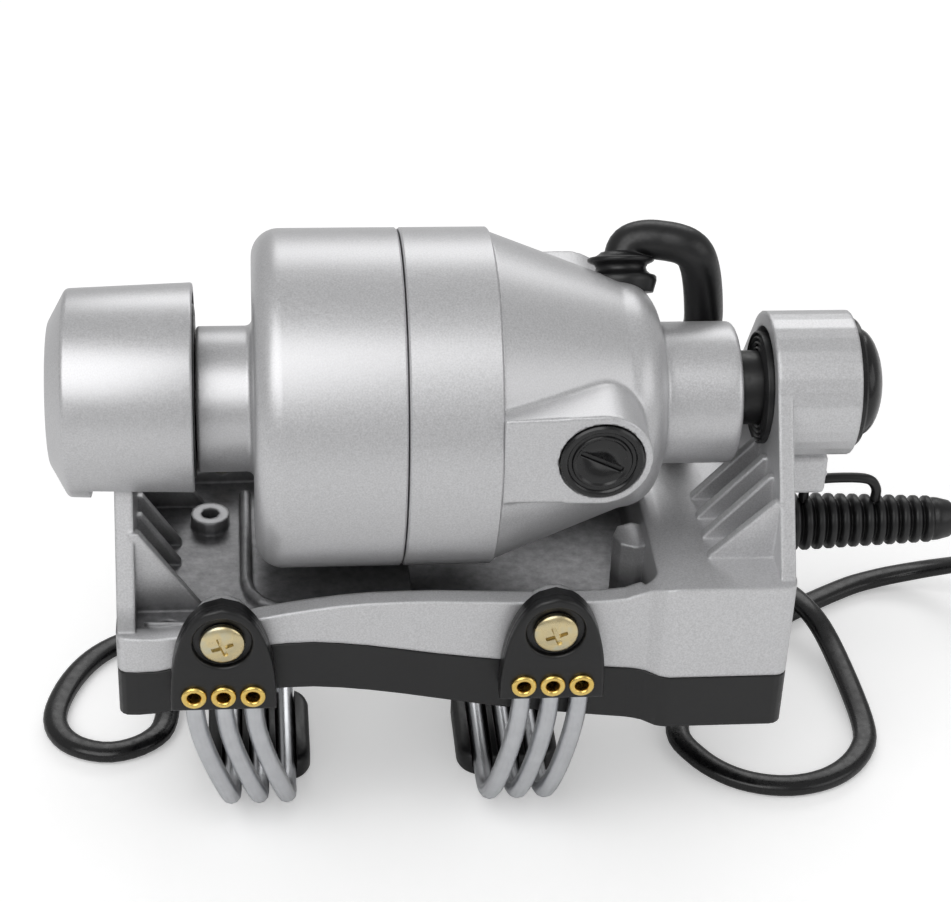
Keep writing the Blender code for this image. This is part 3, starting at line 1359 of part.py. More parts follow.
def make_plug():
    seat = RING_REAR_BORE - GAP
    face = RING_REAR_END_X + GAP
    dome = [
        (PLUG_FLANGE_RADIUS * math.cos(angle), face + PLUG_DOME * math.sin(angle))
        for angle in (QUARTER * i / ARC_POINTS for i in range(ARC_POINTS, -1, -1))
    ]
    dome[0] = (0, face + PLUG_DOME)
    turned("rear_plug", [*dome, (seat, face), (seat, face - PLUG_SEAT_LENGTH),
                         (0, face - PLUG_SEAT_LENGTH)],
           (0, 0, AXIS_Z), "+X", "black_plastic", MID_STEPS)


def make_front_cap():
    """A bell of even wall with a conical chamfer, its mouth cut away over the upright."""
    chamfer_x = CAP_END_X + CAP_CHAMFER_LENGTH
    along = (CAP_RIM_X - chamfer_x) / CAP_LENGTH
    radius = CAP_RIM_RADIUS + (CAP_END_RADIUS - CAP_RIM_RADIUS) * along
    end_radius = radius - CAP_CHAMFER_DROP
    slope = CAP_CHAMFER_LENGTH / CAP_CHAMFER_DROP
    skew = CAP_WALL / math.cos(math.atan(slope))
    cap = turned("front_cap", [
        (0, CAP_END_X + CAP_WALL),
        (end_radius - (skew - CAP_WALL) / slope, CAP_END_X + CAP_WALL),
        (radius - CAP_WALL, chamfer_x - CAP_WALL * slope + skew),
        (CAP_RIM_RADIUS - CAP_WALL, CAP_RIM_X),
        (CAP_RIM_RADIUS, CAP_RIM_X),
        (radius, chamfer_x),
        (end_radius, CAP_END_X),
        (0, CAP_END_X),
    ], (0, 0, AXIS_Z), "+X", "cap_silver", FINE_STEPS)
    mouth = box(
        "cap_mouth",
        (RING_FRONT_X - GAP * 4, -CAP_RIM_RADIUS - OVERRUN, AXIS_Z - CAP_RIM_RADIUS - OVERRUN),
        (CAP_RIM_X + OVERRUN, CAP_RIM_RADIUS + OVERRUN, AXIS_Z - FRONT_PLATE_NARROW_DROP),
    )
    cut(cap, mouth)


# Straps


def tab_outline(x, screw_z):
    foot = screw_z - TAB_EYELET_DROP - TAB_FOOT
    height = screw_z + TAB_TOP - foot
    right = [
        (x + TAB_HALF_WIDTH * math.sqrt(1 - share**TAB_ARCH_POWER), foot + height * share)
        for share in TAB_ARCH_SHARES
    ]
    left = [(x * 2 - px, pz) for px, pz in reversed(right[:-1])]
    return right + left


def make_tab(word, side, x, screw_z):
    direction = "+Y" if side > 0 else "-Y"
    seat = tab_seat_y(x)
    face = seat + TAB_THICKNESS
    low, high = sorted((side * seat, side * face))
    tab = plate("%s_tab" % word, tab_outline(x, screw_z), low, high, "XZ", "black_rubber")
    at = (x, 0, screw_z)
    cut(tab, cylinder("tab_recess", TAB_RECESS_RADIUS, face - TAB_RECESS_DEPTH, face + OVERRUN, at,
                      direction))
    cut(tab, cylinder("tab_hole", SCREW_RADIUS + GAP, seat - OVERRUN, face + OVERRUN, at, direction,
                      steps=TINY_STEPS))
    head = face - TAB_RECESS_DEPTH + GAP
    top = head + SCREW_HEAD_HEIGHT
    edge = SCREW_HEAD_HEIGHT / 3
    end = seat - GAP - SCREW_BITE
    screw = turned("%s_screw" % word, [
        (0, top), (SCREW_HEAD_RADIUS * 2 / 3, top - edge / 3), (SCREW_HEAD_RADIUS, top - edge * 2),
        (SCREW_HEAD_RADIUS, head), (SCREW_RADIUS, head), (SCREW_RADIUS, end), (0, end),
    ], at, direction, "zinc_gold", SMALL_STEPS)
    inner, outer = sorted((side * (top - SCREW_DRIVE_DEPTH), side * (top + OVERRUN)))
    arms = (SCREW_DRIVE_RADIUS, SCREW_DRIVE_WIDTH / 2)
    drive = box("drive_a", (x - arms[0], inner, screw_z - arms[1]),
                (x + arms[0], outer, screw_z + arms[1]))
    join(drive, box("drive_b", (x - arms[1], inner, screw_z - arms[0]),
                    (x + arms[1], outer, screw_z + arms[0])))
    cut(screw, drive)
    for place_number, place_word in ((-1, "a"), (0, "b"), (1, "c")):
        eyelet_x = x + place_number * EYELET_PITCH
        eyelet_at = (eyelet_x, 0, screw_z - TAB_EYELET_DROP)
        cut(tab, cylinder("eyelet_hole", EYELET_BARREL + GAP, seat - OVERRUN, face + OVERRUN,
                          eyelet_at, direction, steps=TINY_STEPS))
        lip = face + GAP
        turned("%s_eyelet_%s" % (word, place_word), [
            (EYELET_BORE, lip + EYELET_FLANGE), (EYELET_RADIUS - EYELET_FLANGE, lip + EYELET_FLANGE),
            (EYELET_RADIUS, lip), (EYELET_BARREL, lip), (EYELET_BARREL, seat),
            (EYELET_BORE, seat),
        ], eyelet_at, direction, "brass", TINY_STEPS, closed=True)


def strand_path(x, screw_z, lean, place_number):
    """One strand's middle line: down from a tab, under the pad, up to the other tab."""
    half = tab_seat_y(x) + TAB_THICKNESS / 2
    flat = STRAND_FLAT
    top = screw_z - TAB_EYELET_DROP - TAB_FOOT - GAP
    bottom = STRAND_FLOOR + STRAND_RADIUS
    height = top - bottom - STRAND_RADIUS
    across = half - flat
    count = 24
    quarter = []
    for i in range(count + 1):
        angle = QUARTER * i / count
        y = flat + across * math.sin(angle) ** (2 / STRAND_POWER)
        z = bottom + height * (1 - math.cos(angle) ** (2 / STRAND_POWER))
        quarter.append((y, z))
    half_line = [(0, bottom), *quarter, (half, top)]
    line = [(-y, z) for y, z in reversed(half_line)] + half_line[1:]
    offset = place_number * EYELET_PITCH
    return [
        Vector((x + offset + lean * smooth_share((top - z) / (top - bottom)), y, z))
        for y, z in line
    ]


def smooth_share(share):
    share = min(max(share, 0), 1)
    return share * share * (3 - 2 * share)


def least_gap(points, radius, skip):
    """The least clear distance of a wire to itself, between turns that are skip points apart."""
    least = None
    for i, a in enumerate(points):
        for b in points[i + skip:]:
            gap = (a - b).length - radius * 2
            if least is None or gap < least:
                least = gap
    return least


def make_strap(word, x, drop, lean):
    screw_z = AXIS_Z - drop
    for side, side_word in ((-1, "near"), (1, "far")):
        make_tab("%s_%s" % (word, side_word), side, x, screw_z)
    for place_number, place_word in ((-1, "a"), (0, "b"), (1, "c")):
        path = strand_path(x, screw_z, lean, place_number)
        radius = STRAND_RADIUS - STRAND_WIRE_RADIUS
        coil = helix_on(path, radius, STRAND_CURLS, STRAND_CURL_POINTS, STRAND_WIRE_RADIUS)
        name = "%s_spring_%s" % (word, place_word)
        tube(name, coil, STRAND_WIRE_RADIUS, 1, "spring_steel")
        print(name, "least gap to itself, mm:",
              round(1000 * least_gap(coil, STRAND_WIRE_RADIUS, STRAND_CURL_POINTS - 2), 2))
    make_pad(word, x + lean)


def make_pad(word, x):
    pad = box(
        "%s_pad" % word,
        (x - PAD_LENGTH_X / 2, -PAD_LENGTH_Y / 2, 0),
        (x + PAD_LENGTH_X / 2, PAD_LENGTH_Y / 2, PAD_HEIGHT),
        "black_rubber",
    )
    bm = bmesh.new()
    bm.from_mesh(pad.data)
    upright = [edge for edge in bm.edges
               if abs(edge.verts[0].co.z - edge.verts[1].co.z) > PAD_HEIGHT / 2]
    bmesh.ops.bevel(bm, geom=upright, offset=PAD_CORNER, segments=4, affect="EDGES", profile=0.5)
    bm.to_mesh(pad.data)
    bm.free()
    soften(pad, PAD_EDGE, 1)
    for place_number in (-1, 0, 1):
        groove_x = x + place_number * EYELET_PITCH
        radius = STRAND_RADIUS + GAP
        bottom = STRAND_FLOOR + STRAND_RADIUS
        groove = box(
            "pad_groove",
            (groove_x - radius, -PAD_LENGTH_Y, bottom),
            (groove_x + radius, PAD_LENGTH_Y, PAD_HEIGHT + OVERRUN),
        )
        join(groove, cylinder("groove_round", radius, -PAD_LENGTH_Y, PAD_LENGTH_Y,
                              (groove_x, 0, bottom), "+Y", steps=TINY_STEPS))
        cut(pad, groove)


def make_clamp_screw():
    face = CLAMP_LUG_HALF_WIDTH + GAP
    end = -CLAMP_LUG_HALF_WIDTH + RAIL_WALL / 2 + GAP
    top = face + CLAMP_HEAD_HEIGHT
    edge = CLAMP_HEAD_HEIGHT / 3
    turned("clamp_screw", [
        (0, top), (CLAMP_HEAD_RADIUS * 2 / 3, top), (CLAMP_HEAD_RADIUS, top - edge),
        (CLAMP_HEAD_RADIUS, face), (CLAMP_SCREW_RADIUS, face), (CLAMP_SCREW_RADIUS, end), (0, end),
    ], clamp_centre(), "+Y", "bare_steel", TINY_STEPS)


# Leads and cord


def make_motor_lead():
    foot = Vector((LEAD_FOOT_X, LEAD_FOOT_Y, BLOCK_TOP_Z + GAP))
    collar = collar_centre()
    out = collar_direction()
    lift = LEAD_FOOT_HEIGHT
    start = foot + Vector((0, 0, lift))
    rise = MOTOR_Z + LEAD_TOP_RISE
    collar_top = collar + out * LEAD_COLLAR_LENGTH
    middle_x = (LEAD_FOOT_X + LEAD_COLLAR_X) / 2
    middle_y = (LEAD_FOOT_Y + collar_top.y) / 2
    route = [
        foot + Vector((0, 0, lift / 2)), start,
        (LEAD_FOOT_X + lift * 2 / 3, LEAD_FOOT_Y + lift / 2, (start.z + rise) / 2 - lift),
        (LEAD_FOOT_X + lift * 2 / 3, LEAD_FOOT_Y, (start.z + rise) / 2 + lift),
        (LEAD_FOOT_X, LEAD_FOOT_Y - lift / 2, rise - lift / 2),
        (middle_x, middle_y, rise),
        collar_top + out * lift / 2 + Vector((lift / 3, 0, 0)),
        collar_top - out * lift / 2,
    ]
    path = curve_through(route, LEAD_POINTS)
    line = tube("lead_line", path, LEAD_RADIUS, 3)
    lead = as_mesh(line, "motor_lead", "black_rubber")
    flare = turned("lead_foot", [
        (0, lift), (LEAD_RADIUS, lift), (LEAD_FOOT_RADIUS, lift / 3), (LEAD_FOOT_RADIUS, 0), (0, 0),
    ], foot, "+Z", steps=SMALL_STEPS)
    length = LEAD_COLLAR_LENGTH
    disc = turned("lead_collar", [
        (0, length), (LEAD_RADIUS, length), (LEAD_COLLAR_RADIUS, length * 2 / 3),
        (LEAD_COLLAR_RADIUS, -length / 4), (LEAD_RADIUS, -length), (0, -length),
    ], collar, "+Z", steps=SMALL_STEPS)
    disc.rotation_euler = (-math.radians(LEAD_COLLAR_TURN), 0, 0)
    join(lead, flare, disc)
    clearance = turned("housing_clearance", [
        (0, REAR_NECK_END_X), (REAR_NECK_RADIUS + GAP, REAR_NECK_END_X),
        (REAR_NECK_RADIUS + GAP, SHOULDER_END_X),
        *[(REAR_NECK_RADIUS + (CONE_END_RADIUS - REAR_NECK_RADIUS) * math.cos(angle) + GAP,
           CONE_END_X + SHOULDER_LENGTH * math.sin(angle))
          for angle in (QUARTER * i / ARC_POINTS for i in range(ARC_POINTS - 1, -1, -1))],
        (cone_radius(DRUM_END_X) + GAP, DRUM_END_X), (0, DRUM_END_X),
    ], (0, 0, MOTOR_Z), "+X", steps=FINE_STEPS)
    cut(lead, clearance)


def make_relief():
    x, y, z = relief_centre()
    start = x + INLET_LENGTH + GAP
    flange_end = start + RELIEF_FLANGE_LENGTH
    pitch = RELIEF_RIBBED_LENGTH / RELIEF_RINGS
    rings = []
    for i in range(RELIEF_RINGS):
        left = flange_end + i * pitch
        radius = RELIEF_RADIUS - RELIEF_NARROWING * i / RELIEF_RINGS
        rings += [
            (radius - RELIEF_GROOVE, left + pitch / 5), (radius, left + pitch / 3),
            (radius, left + pitch * 4 / 5),
        ]
    taper = flange_end + RELIEF_RIBBED_LENGTH + RELIEF_TAPER_LENGTH
    rising = [
        (0, start), (RELIEF_FLANGE_RADIUS, start), (RELIEF_FLANGE_RADIUS, flange_end), *rings,
        (RELIEF_END_RADIUS, taper), (0, taper),
    ]
    turned("strain_relief", list(reversed(rising)), (0, y, z), "+X", "black_rubber", TINY_STEPS)
    return (taper, y, z)


# The cord's own route on the floor, from hand: x, y, height above where it lies
CORD_ROUTE = (
    (0.1350, 0.0139, 0.0545), (0.1440, 0.0170, 0.0505), (0.1505, 0.0245, 0.0430),
    (0.1530, 0.0345, 0.0325), (0.1505, 0.0450, 0.0220), (0.1435, 0.0540, 0.0130),
    (0.1335, 0.0595, 0.0070), (0.1215, 0.0600, 0.0040), (0.1100, 0.0560, 0.0031),
    (0.0890, 0.0425, 0.0031), (0.0665, 0.0225, 0.0031), (0.0565, 0.0000, 0.0031),
    (0.0597, -0.0120, 0.0031), (0.0685, -0.0208, 0.0031), (0.0805, -0.0240, 0.0031),
    (0.0925, -0.0208, 0.0031), (0.1013, -0.0120, 0.0031), (0.1045, 0.0000, 0.0031),
    (0.1020, 0.0270, 0.0062), (0.0975, 0.0390, 0.0098), (0.0905, 0.0500, 0.0103),
    (0.0800, 0.0580, 0.0078), (0.0660, 0.0620, 0.0045), (0.0500, 0.0620, 0.0033),
    (0.0208, 0.0545, 0.0031), (-0.0092, 0.0480, 0.0031), (-0.0602, 0.0460, 0.0031),
    (-0.0762, 0.0440, 0.0031), (-0.0890, 0.0370, 0.0031), (-0.0970, 0.0250, 0.0031),
    (-0.1005, 0.0100, 0.0031), (-0.0964, 0.0001, 0.0031), (-0.0865, -0.0040, 0.0031),
    (-0.0766, 0.0001, 0.0031), (-0.0725, 0.0100, 0.0031), (-0.0725, 0.0340, 0.0072),
    (-0.0740, 0.0450, 0.0103), (-0.0712, 0.0590, 0.0100), (-0.0612, 0.0710, 0.0108),
)


def coil_points():
    """Piled loops: in on the upper layer, down in the half turn at the middle, out on the floor."""
    upper = int(COIL_UPPER_TURNS * COIL_LOOP_POINTS)
    lower = int(COIL_LOWER_TURNS * COIL_LOOP_POINTS)
    half_turn = COIL_LOOP_POINTS // 2
    quarter_turn = COIL_LOOP_POINTS // 4
    low = CORD_RADIUS + GAP
    high = low + COIL_SPACING
    total = upper + half_turn + lower
    points = []
    for i in range(total + 1):
        angle = math.pi - 2 * math.pi * i / COIL_LOOP_POINTS
        inward = max(upper - i, i - upper - half_turn, 0)
        fall = smooth_share((i - upper) / half_turn)
        flare = smooth_share((i - total + half_turn) / half_turn)
        lift = smooth_share((i - total + quarter_turn) / quarter_turn)
        z = high + (low - high) * fall + COIL_END_RISE * lift
        radius = COIL_INNER_RADIUS + COIL_SPACING * inward / COIL_LOOP_POINTS
        radius += COIL_END_SPREAD * flare
        points.append(Vector((COIL_CENTRE_X + radius * math.cos(angle),
                              COIL_CENTRE_Y + radius * math.sin(angle), z)))
    first = (points[0] - points[1]).normalized() * CORD_DIAMETER
    last = (points[-1] - points[-2]).normalized() * CORD_DIAMETER
    return [points[0] + first, *points, points[-1] + last]


def make_cord():
    x, y, z = make_relief()
    coil = coil_points()
    start = coil[0] + (coil[0] - coil[1]).normalized() * GAP
    into = (coil[0] - coil[1]).normalized()
    exit_point = Vector((x + GAP, y, z))
    after_exit = exit_point + Vector((CORD_DIAMETER, 0, 0))
    route = [after_exit, *[Vector(point) for point in CORD_ROUTE], start + into * CORD_DIAMETER]
    path = [exit_point, *curve_through(route, CORD_POINTS), start]
    tube("mains_cord", path, CORD_RADIUS, 2, "black_rubber")
    tube("cord_coil", coil, CORD_RADIUS, 1, "black_rubber")
    print("coil least gap to itself, mm:",
          round(1000 * least_gap(coil, CORD_RADIUS, COIL_LOOP_POINTS - 4), 2))
    print("cord length, m:", round(length_of(path) + length_of(coil), 3))
    make_mains_plug(coil)


def make_mains_plug(coil):
    along = (coil[-1] - coil[-2]).normalized()
    angle = math.atan2(along.y, along.x)
    start = coil[-1] + along * GAP
    middle_z = start.z
    mesh = bpy.data.meshes.new("mains_plug")
    shape = bmesh.new()
    bmesh.ops.create_cube(shape, size=1)
    half = min(PLUG_HALF_HEIGHT, middle_z - GAP)
    bmesh.ops.scale(shape, vec=(PLUG_LENGTH, PLUG_HALF_WIDTH * 2, half * 2), verts=shape.verts)
    bmesh.ops.translate(shape, vec=(PLUG_LENGTH / 2, 0, 0), verts=shape.verts)
    shape.to_mesh(mesh)
    shape.free()
    plug = place("mains_plug", mesh, start, (0, 0, angle), "black_plastic")
    soften(plug, PLUG_EDGE)
    for side in (-1, 1):
        offset = Vector((-math.sin(angle), math.cos(angle), 0)) * side * PIN_PITCH / 2
        pin_start = start + along * (PLUG_LENGTH - PIN_RADIUS) + offset
        profile = [(0, PIN_LENGTH), (PIN_RADIUS / 2, PIN_LENGTH), (PIN_RADIUS, PIN_LENGTH - PIN_RADIUS),
                   (PIN_RADIUS, 0), (0, 0)]
        pin = turned("plug_pin", profile, pin_start, "+X", steps=TINY_STEPS)
        pin.rotation_euler = (0, QUARTER, angle)
        join(plug, pin)


make_cradle()
make_tray()
make_front_shell()
make_rear_shell()
make_brushes()
make_rotor()
make_stator()
make_bushes()
make_plug()
make_front_cap()
make_clamp_screw()
make_strap("front", FRONT_TAB_X, FRONT_TAB_DROP, FRONT_PAD_LEAN)
make_strap("rear", REAR_TAB_X, REAR_TAB_DROP, REAR_PAD_LEAN)
make_motor_lead()
make_cord()
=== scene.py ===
# %% [markdown]
# This lesson dresses a handheld body massager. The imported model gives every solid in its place;
# each cell below makes one piece or one finish and lays it over the solid it stands for.

# %% Load the frame
import math

import bmesh
import bpy
from mathutils import Matrix, Quaternion, Vector


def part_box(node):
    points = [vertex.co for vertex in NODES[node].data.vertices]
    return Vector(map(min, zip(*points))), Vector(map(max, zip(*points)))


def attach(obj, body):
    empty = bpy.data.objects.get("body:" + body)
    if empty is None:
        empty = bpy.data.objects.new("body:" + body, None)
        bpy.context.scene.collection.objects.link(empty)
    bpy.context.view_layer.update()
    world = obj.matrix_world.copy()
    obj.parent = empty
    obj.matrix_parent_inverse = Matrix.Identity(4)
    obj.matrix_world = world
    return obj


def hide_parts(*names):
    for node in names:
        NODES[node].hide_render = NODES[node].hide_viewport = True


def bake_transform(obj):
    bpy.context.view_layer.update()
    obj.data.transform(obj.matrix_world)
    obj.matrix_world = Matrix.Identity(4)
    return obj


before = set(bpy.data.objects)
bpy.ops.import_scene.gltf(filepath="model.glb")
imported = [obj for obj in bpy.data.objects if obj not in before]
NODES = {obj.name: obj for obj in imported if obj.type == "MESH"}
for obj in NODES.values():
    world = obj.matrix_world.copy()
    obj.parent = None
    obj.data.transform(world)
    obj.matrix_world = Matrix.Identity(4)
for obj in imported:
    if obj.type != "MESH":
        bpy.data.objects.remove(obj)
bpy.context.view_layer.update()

# %% [markdown]
# The photograph looks down on the machine from the front, a little from its cap end. A camera
# placed at the same angle, with a long lens, gives the same overlaps between the pieces.

# %% Camera
def in_scene(name, data):
    """A new object for the data, linked to the scene."""
    obj = bpy.data.objects.new(name, data)
    bpy.context.scene.collection.objects.link(obj)
    return obj


SENSOR_WIDTH = 36
TARGET = Vector((0.0017, 0.0, 0.0865))
AZIMUTH = math.radians(-6.5)
ELEVATION = math.radians(33.0)
DISTANCE = 0.56
VIEW_WIDTH = 0.2217
ROLL = math.radians(2.6)
camera_data = bpy.data.cameras.new("camera")
camera_data.sensor_width = SENSOR_WIDTH
camera_data.lens = SENSOR_WIDTH * DISTANCE / VIEW_WIDTH
camera_data.clip_start = 0.01
camera = in_scene("camera", camera_data)
away = Vector((math.sin(AZIMUTH) * math.cos(ELEVATION),
               -math.cos(AZIMUTH) * math.cos(ELEVATION), math.sin(ELEVATION)))
camera.location = TARGET + away * DISTANCE
level_view = (-away).to_track_quat("-Z", "Y")
camera.rotation_euler = (level_view @ Quaternion((0, 0, 1), ROLL)).to_euler()
bpy.context.scene.camera = camera
print("lens mm:", round(camera_data.lens, 1))

# %% [markdown]
# Every finish here is a node tree on the piece's own coordinates, so it stays put in any view.
# A few short helpers keep each recipe readable: one adds a node with its inputs wired, and others
# make the shader, a noise, a ramp that turns the noise into colour or roughness, and fine relief.

# %% Material helpers
def wire(tree, node, inputs):
    """Links each input to a socket, or sets it to a value."""
    for key, value in inputs.items():
        if isinstance(value, bpy.types.NodeSocket):
            tree.links.new(value, node.inputs[key])
        elif value is not None:
            node.inputs[key].default_value = value


def add(tree, kind, inputs=None, **settings):
    """A new node with its settings made and its inputs wired."""
    node = tree.nodes.new(kind)
    for key, value in settings.items():
        setattr(node, key, value)
    wire(tree, node, inputs or {})
    return node


def new_material(name, colour, roughness, metallic=0.0):
    """A material with its shader set, its tree, and the shader's node."""
    material = bpy.data.materials.new(name)
    material.use_nodes = True
    tree = material.node_tree
    shader = tree.nodes["Principled BSDF"]
    wire(tree, shader, {"Base Color": (*colour, 1), "Roughness": roughness, "Metallic": metallic})
    return material, tree, shader


def painted(mesh, material):
    """Gives a mesh one material in place of those it has."""
    mesh.materials.clear()
    mesh.materials.append(material)


def object_place(tree, scale=(1, 1, 1)):
    """Where a point is on the piece, scaled for a pattern."""
    where = add(tree, "ShaderNodeTexCoord").outputs["Object"]
    return add(tree, "ShaderNodeMapping", {"Scale": scale, "Vector": where}).outputs["Vector"]


def noise(tree, place, scale, detail=3.0, rough=0.5):
    return add(tree, "ShaderNodeTexNoise", {"Scale": scale, "Detail": detail, "Roughness": rough,
                                            "Vector": place}).outputs["Fac"]


def ramp(tree, value, stops):
    """Colours between two or more positions."""
    node = add(tree, "ShaderNodeValToRGB", {"Fac": value})
    points = node.color_ramp.elements
    while len(points) < len(stops):
        points.new(0.5)
    for point, (position, colour) in zip(points, stops):
        point.position = position
        point.color = (*colour, 1)
    return node.outputs["Color"]


def ranged(tree, value, start, end, low, high):
    """A value between start and end brought to the range from low to high."""
    return add(tree, "ShaderNodeMapRange", {"From Min": start, "From Max": end, "To Min": low,
                                            "To Max": high, "Value": value}).outputs["Result"]


def spread(tree, value, low, high):
    """A noise brought to a range."""
    return ranged(tree, value, 0.3, 0.7, low, high)


def maths(tree, operation, first, second=None):
    return add(tree, "ShaderNodeMath", {0: first, 1: second}, operation=operation).outputs[0]


def mixed(tree, factor, first, second):
    return add(tree, "ShaderNodeMix", {0: factor, 6: first, 7: second}, data_type="RGBA").outputs[2]


def relief(tree, height, depth, shader, strength, edge):
    """Fine bumps, laid over rounded edges where the finish has them."""
    bump = add(tree, "ShaderNodeBump", {"Strength": strength, "Distance": depth, "Height": height})
    if edge:
        corners = add(tree, "ShaderNodeBevel", {"Radius": edge}, samples=6)
        wire(tree, bump, {"Normal": corners.outputs["Normal"]})
    wire(tree, shader, {"Normal": bump.outputs["Normal"]})


# %% [markdown]
# The castings wear a satin silver lacquer. Its fine aluminium flakes glint one by one, so a very
# small noise moves the colour and the roughness, and a broad one keeps large faces from looking
# dead flat. Inside the cradle, low down between the two side rails, shade is painted into the
# lacquer's colour as a dark, uneven grey. This painted shade is set by height and width alone, so
# it also covers the foot of the outer end faces, which should be bright.

# %% Silver finishes
LACQUER_METALLIC = 0.62
# Painted shade in the cradle: below a height and within a width between the side rails.
PAINTED_SHADE_BELOW, PAINTED_SHADE_WITHIN = (0.0595, 0.0655), (0.0300, 0.0335)


def silver(name, colour, roughness, edge=0.0):
    material, tree, shader = new_material(name, colour, roughness, LACQUER_METALLIC)
    place = object_place(tree)
    flakes = noise(tree, place, 2600.0, 2.0, 0.6)
    broad = noise(tree, place, 22.0, 2.0)
    darker = tuple(c * 0.86 for c in colour)
    lighter = tuple(min(c * 1.13, 1) for c in colour)
    glint = ramp(tree, flakes, [(0.30, darker), (0.52, colour), (0.72, lighter)])
    duller = (*(c * 0.9 for c in colour), 1)
    shaded = mixed(tree, spread(tree, broad, 0.0, 0.16), glint, duller)
    wire(tree, shader, {"Base Color": shaded,
                        "Roughness": spread(tree, flakes, roughness - 0.07, roughness + 0.09)})
    relief(tree, flakes, 0.00002, shader, 0.35, edge)
    return material, shader, shaded


SILVER, _, _ = silver("silver_lacquer", (0.59, 0.59, 0.60), 0.37)
CAP_SILVER, _, _ = silver("cap_lacquer", (0.58, 0.58, 0.59), 0.36)


def cast_silver(name):
    """The cradle's lacquer, with shade painted dark and uneven low down between the two side rails.
    """
    material, shader, shaded = silver(name, (0.62, 0.62, 0.63), 0.37, 0.0011)
    tree = material.node_tree
    where = add(tree, "ShaderNodeTexCoord").outputs["Object"]
    apart = add(tree, "ShaderNodeSeparateXYZ", {"Vector": where})
    # Painted shade: low down between the side rails the colour is painted a dark, uneven grey.
    low = ranged(tree, apart.outputs["Z"], *PAINTED_SHADE_BELOW, 1.0, 0.0)
    within = ranged(tree, maths(tree, "ABSOLUTE", apart.outputs["Y"]), *PAINTED_SHADE_WITHIN, 1.0, 0.0)
    painted_shade_mask = maths(tree, "MULTIPLY", low, within)
    fine_noise = noise(tree, object_place(tree), 420.0, 5.0, 0.65)
    painted_shade = ramp(tree, fine_noise, [(0.3, (0.13, 0.13, 0.135)), (0.7, (0.23, 0.23, 0.235))])
    wire(tree, shader, {"Base Color": mixed(tree, painted_shade_mask, shaded, painted_shade)})
    return material


CRADLE_SILVER = cast_silver("cradle_lacquer")
print("silver finishes ready")

# %% [markdown]
# The black pieces differ mostly in how they shine: the tray and caps are moulded plastic with a
# faint spark-eroded grain, while tabs, bushes and cord are soft rubber, broader in their sheen.

# %% Black finishes
def black(name, colour, roughness, grain_scale, depth, edge=0.0):
    material, tree, shader = new_material(name, colour, roughness)
    place = object_place(tree)
    fine_noise = noise(tree, place, grain_scale, 4.0, 0.6)
    dust = noise(tree, place, 60.0, 3.0)
    greyer = tuple(c + 0.002 for c in colour)
    wire(tree, shader, {"Base Color": ramp(tree, dust, [(0.35, colour), (0.75, greyer)]),
                        "Roughness": spread(tree, fine_noise, roughness - 0.08, roughness + 0.1)})
    relief(tree, fine_noise, depth, shader, 0.5, edge)
    return material


TRAY_BLACK = black("tray_plastic", (0.0045, 0.0045, 0.005), 0.36, 900.0, 0.00003, 0.0009)
CAP_BLACK = black("cap_plastic", (0.004, 0.004, 0.0045), 0.22, 700.0, 0.000015)
RUBBER = black("soft_rubber", (0.0045, 0.0045, 0.005), 0.36, 1100.0, 0.00002, 0.0004)
CORD_BLACK = black("cord_sheath", (0.004, 0.004, 0.0045), 0.26, 500.0, 0.00001)
print("black finishes ready")

# %% [markdown]
# The small metal parts are plated. Yellow zinc shifts between gold and olive, brass is warm and
# polished, and the spring wire is bright with a faint drawn grain.

# %% Metal finishes
def metal(name, colours, roughness, scale, stretch=(1, 1, 1), spread_by=0.1):
    material, tree, shader = new_material(name, colours[0], roughness, 1.0)
    tone = noise(tree, object_place(tree, stretch), scale, 3.0)
    stops = [(0.3 + 0.4 * i / max(len(colours) - 1, 1), c) for i, c in enumerate(colours)]
    dull = spread(tree, tone, roughness - spread_by / 2, roughness + spread_by)
    wire(tree, shader, {"Base Color": ramp(tree, tone, stops), "Roughness": dull})
    return material


ZINC = metal("yellow_zinc", [(0.60, 0.52, 0.33), (0.72, 0.60, 0.34), (0.62, 0.60, 0.46)], 0.27,
             260.0)
BRASS = metal("eyelet_brass", [(0.83, 0.58, 0.16), (0.90, 0.66, 0.22)], 0.24, 300.0)
SPRING = metal("spring_wire", [(0.58, 0.59, 0.61), (0.64, 0.65, 0.67)], 0.32, 340.0, spread_by=0.04)
STEEL = metal("machined_steel", [(0.48, 0.48, 0.49), (0.60, 0.60, 0.61)], 0.32, 500.0, (1, 6, 6))
CORE = metal("core_sheets", [(0.18, 0.18, 0.19), (0.30, 0.30, 0.31)], 0.5, 1500.0, (6, 0.2, 0.2))
COPPER = metal("enamelled_copper", [(0.55, 0.22, 0.10), (0.72, 0.34, 0.17)], 0.33, 420.0,
               (1, 5, 1))
CARBON = black("pressed_carbon", (0.030, 0.030, 0.032), 0.55, 800.0, 0.00002)
print("metal finishes ready")

# %% [markdown]
# The solids that keep showing, most of them inside the motor, only need the right finish in
# their material slots.

# %% Finishes on the solids that stay
KEPT = {
    CRADLE_SILVER: ("cradle_frame",),
    TRAY_BLACK: ("base_tray",),
    STEEL: ("clamp_screw", "rotor_shaft", "front_bearing", "rear_bearing", "eccentric_weight",
            "brush_spring_near", "brush_spring_far"),
    CORE: ("stator_core", "armature_core"),
    COPPER: ("field_coil_upper", "field_coil_lower", "front_winding", "rear_winding",
             "commutator"),
    CARBON: ("carbon_brush_near", "carbon_brush_far"),
}
for finish, names in KEPT.items():
    for name in names:
        painted(NODES[name].data, finish)
print("solids kept:", sum(len(names) for names in KEPT.values()))

# %% [markdown]
# Turned pieces, such as the motor's shells and the cap, are one profile spun round an axis.
# Spinning it in many small steps gives the clean outline that the coarse solid lacks. The
# profile is a list of radius and distance along the axis.

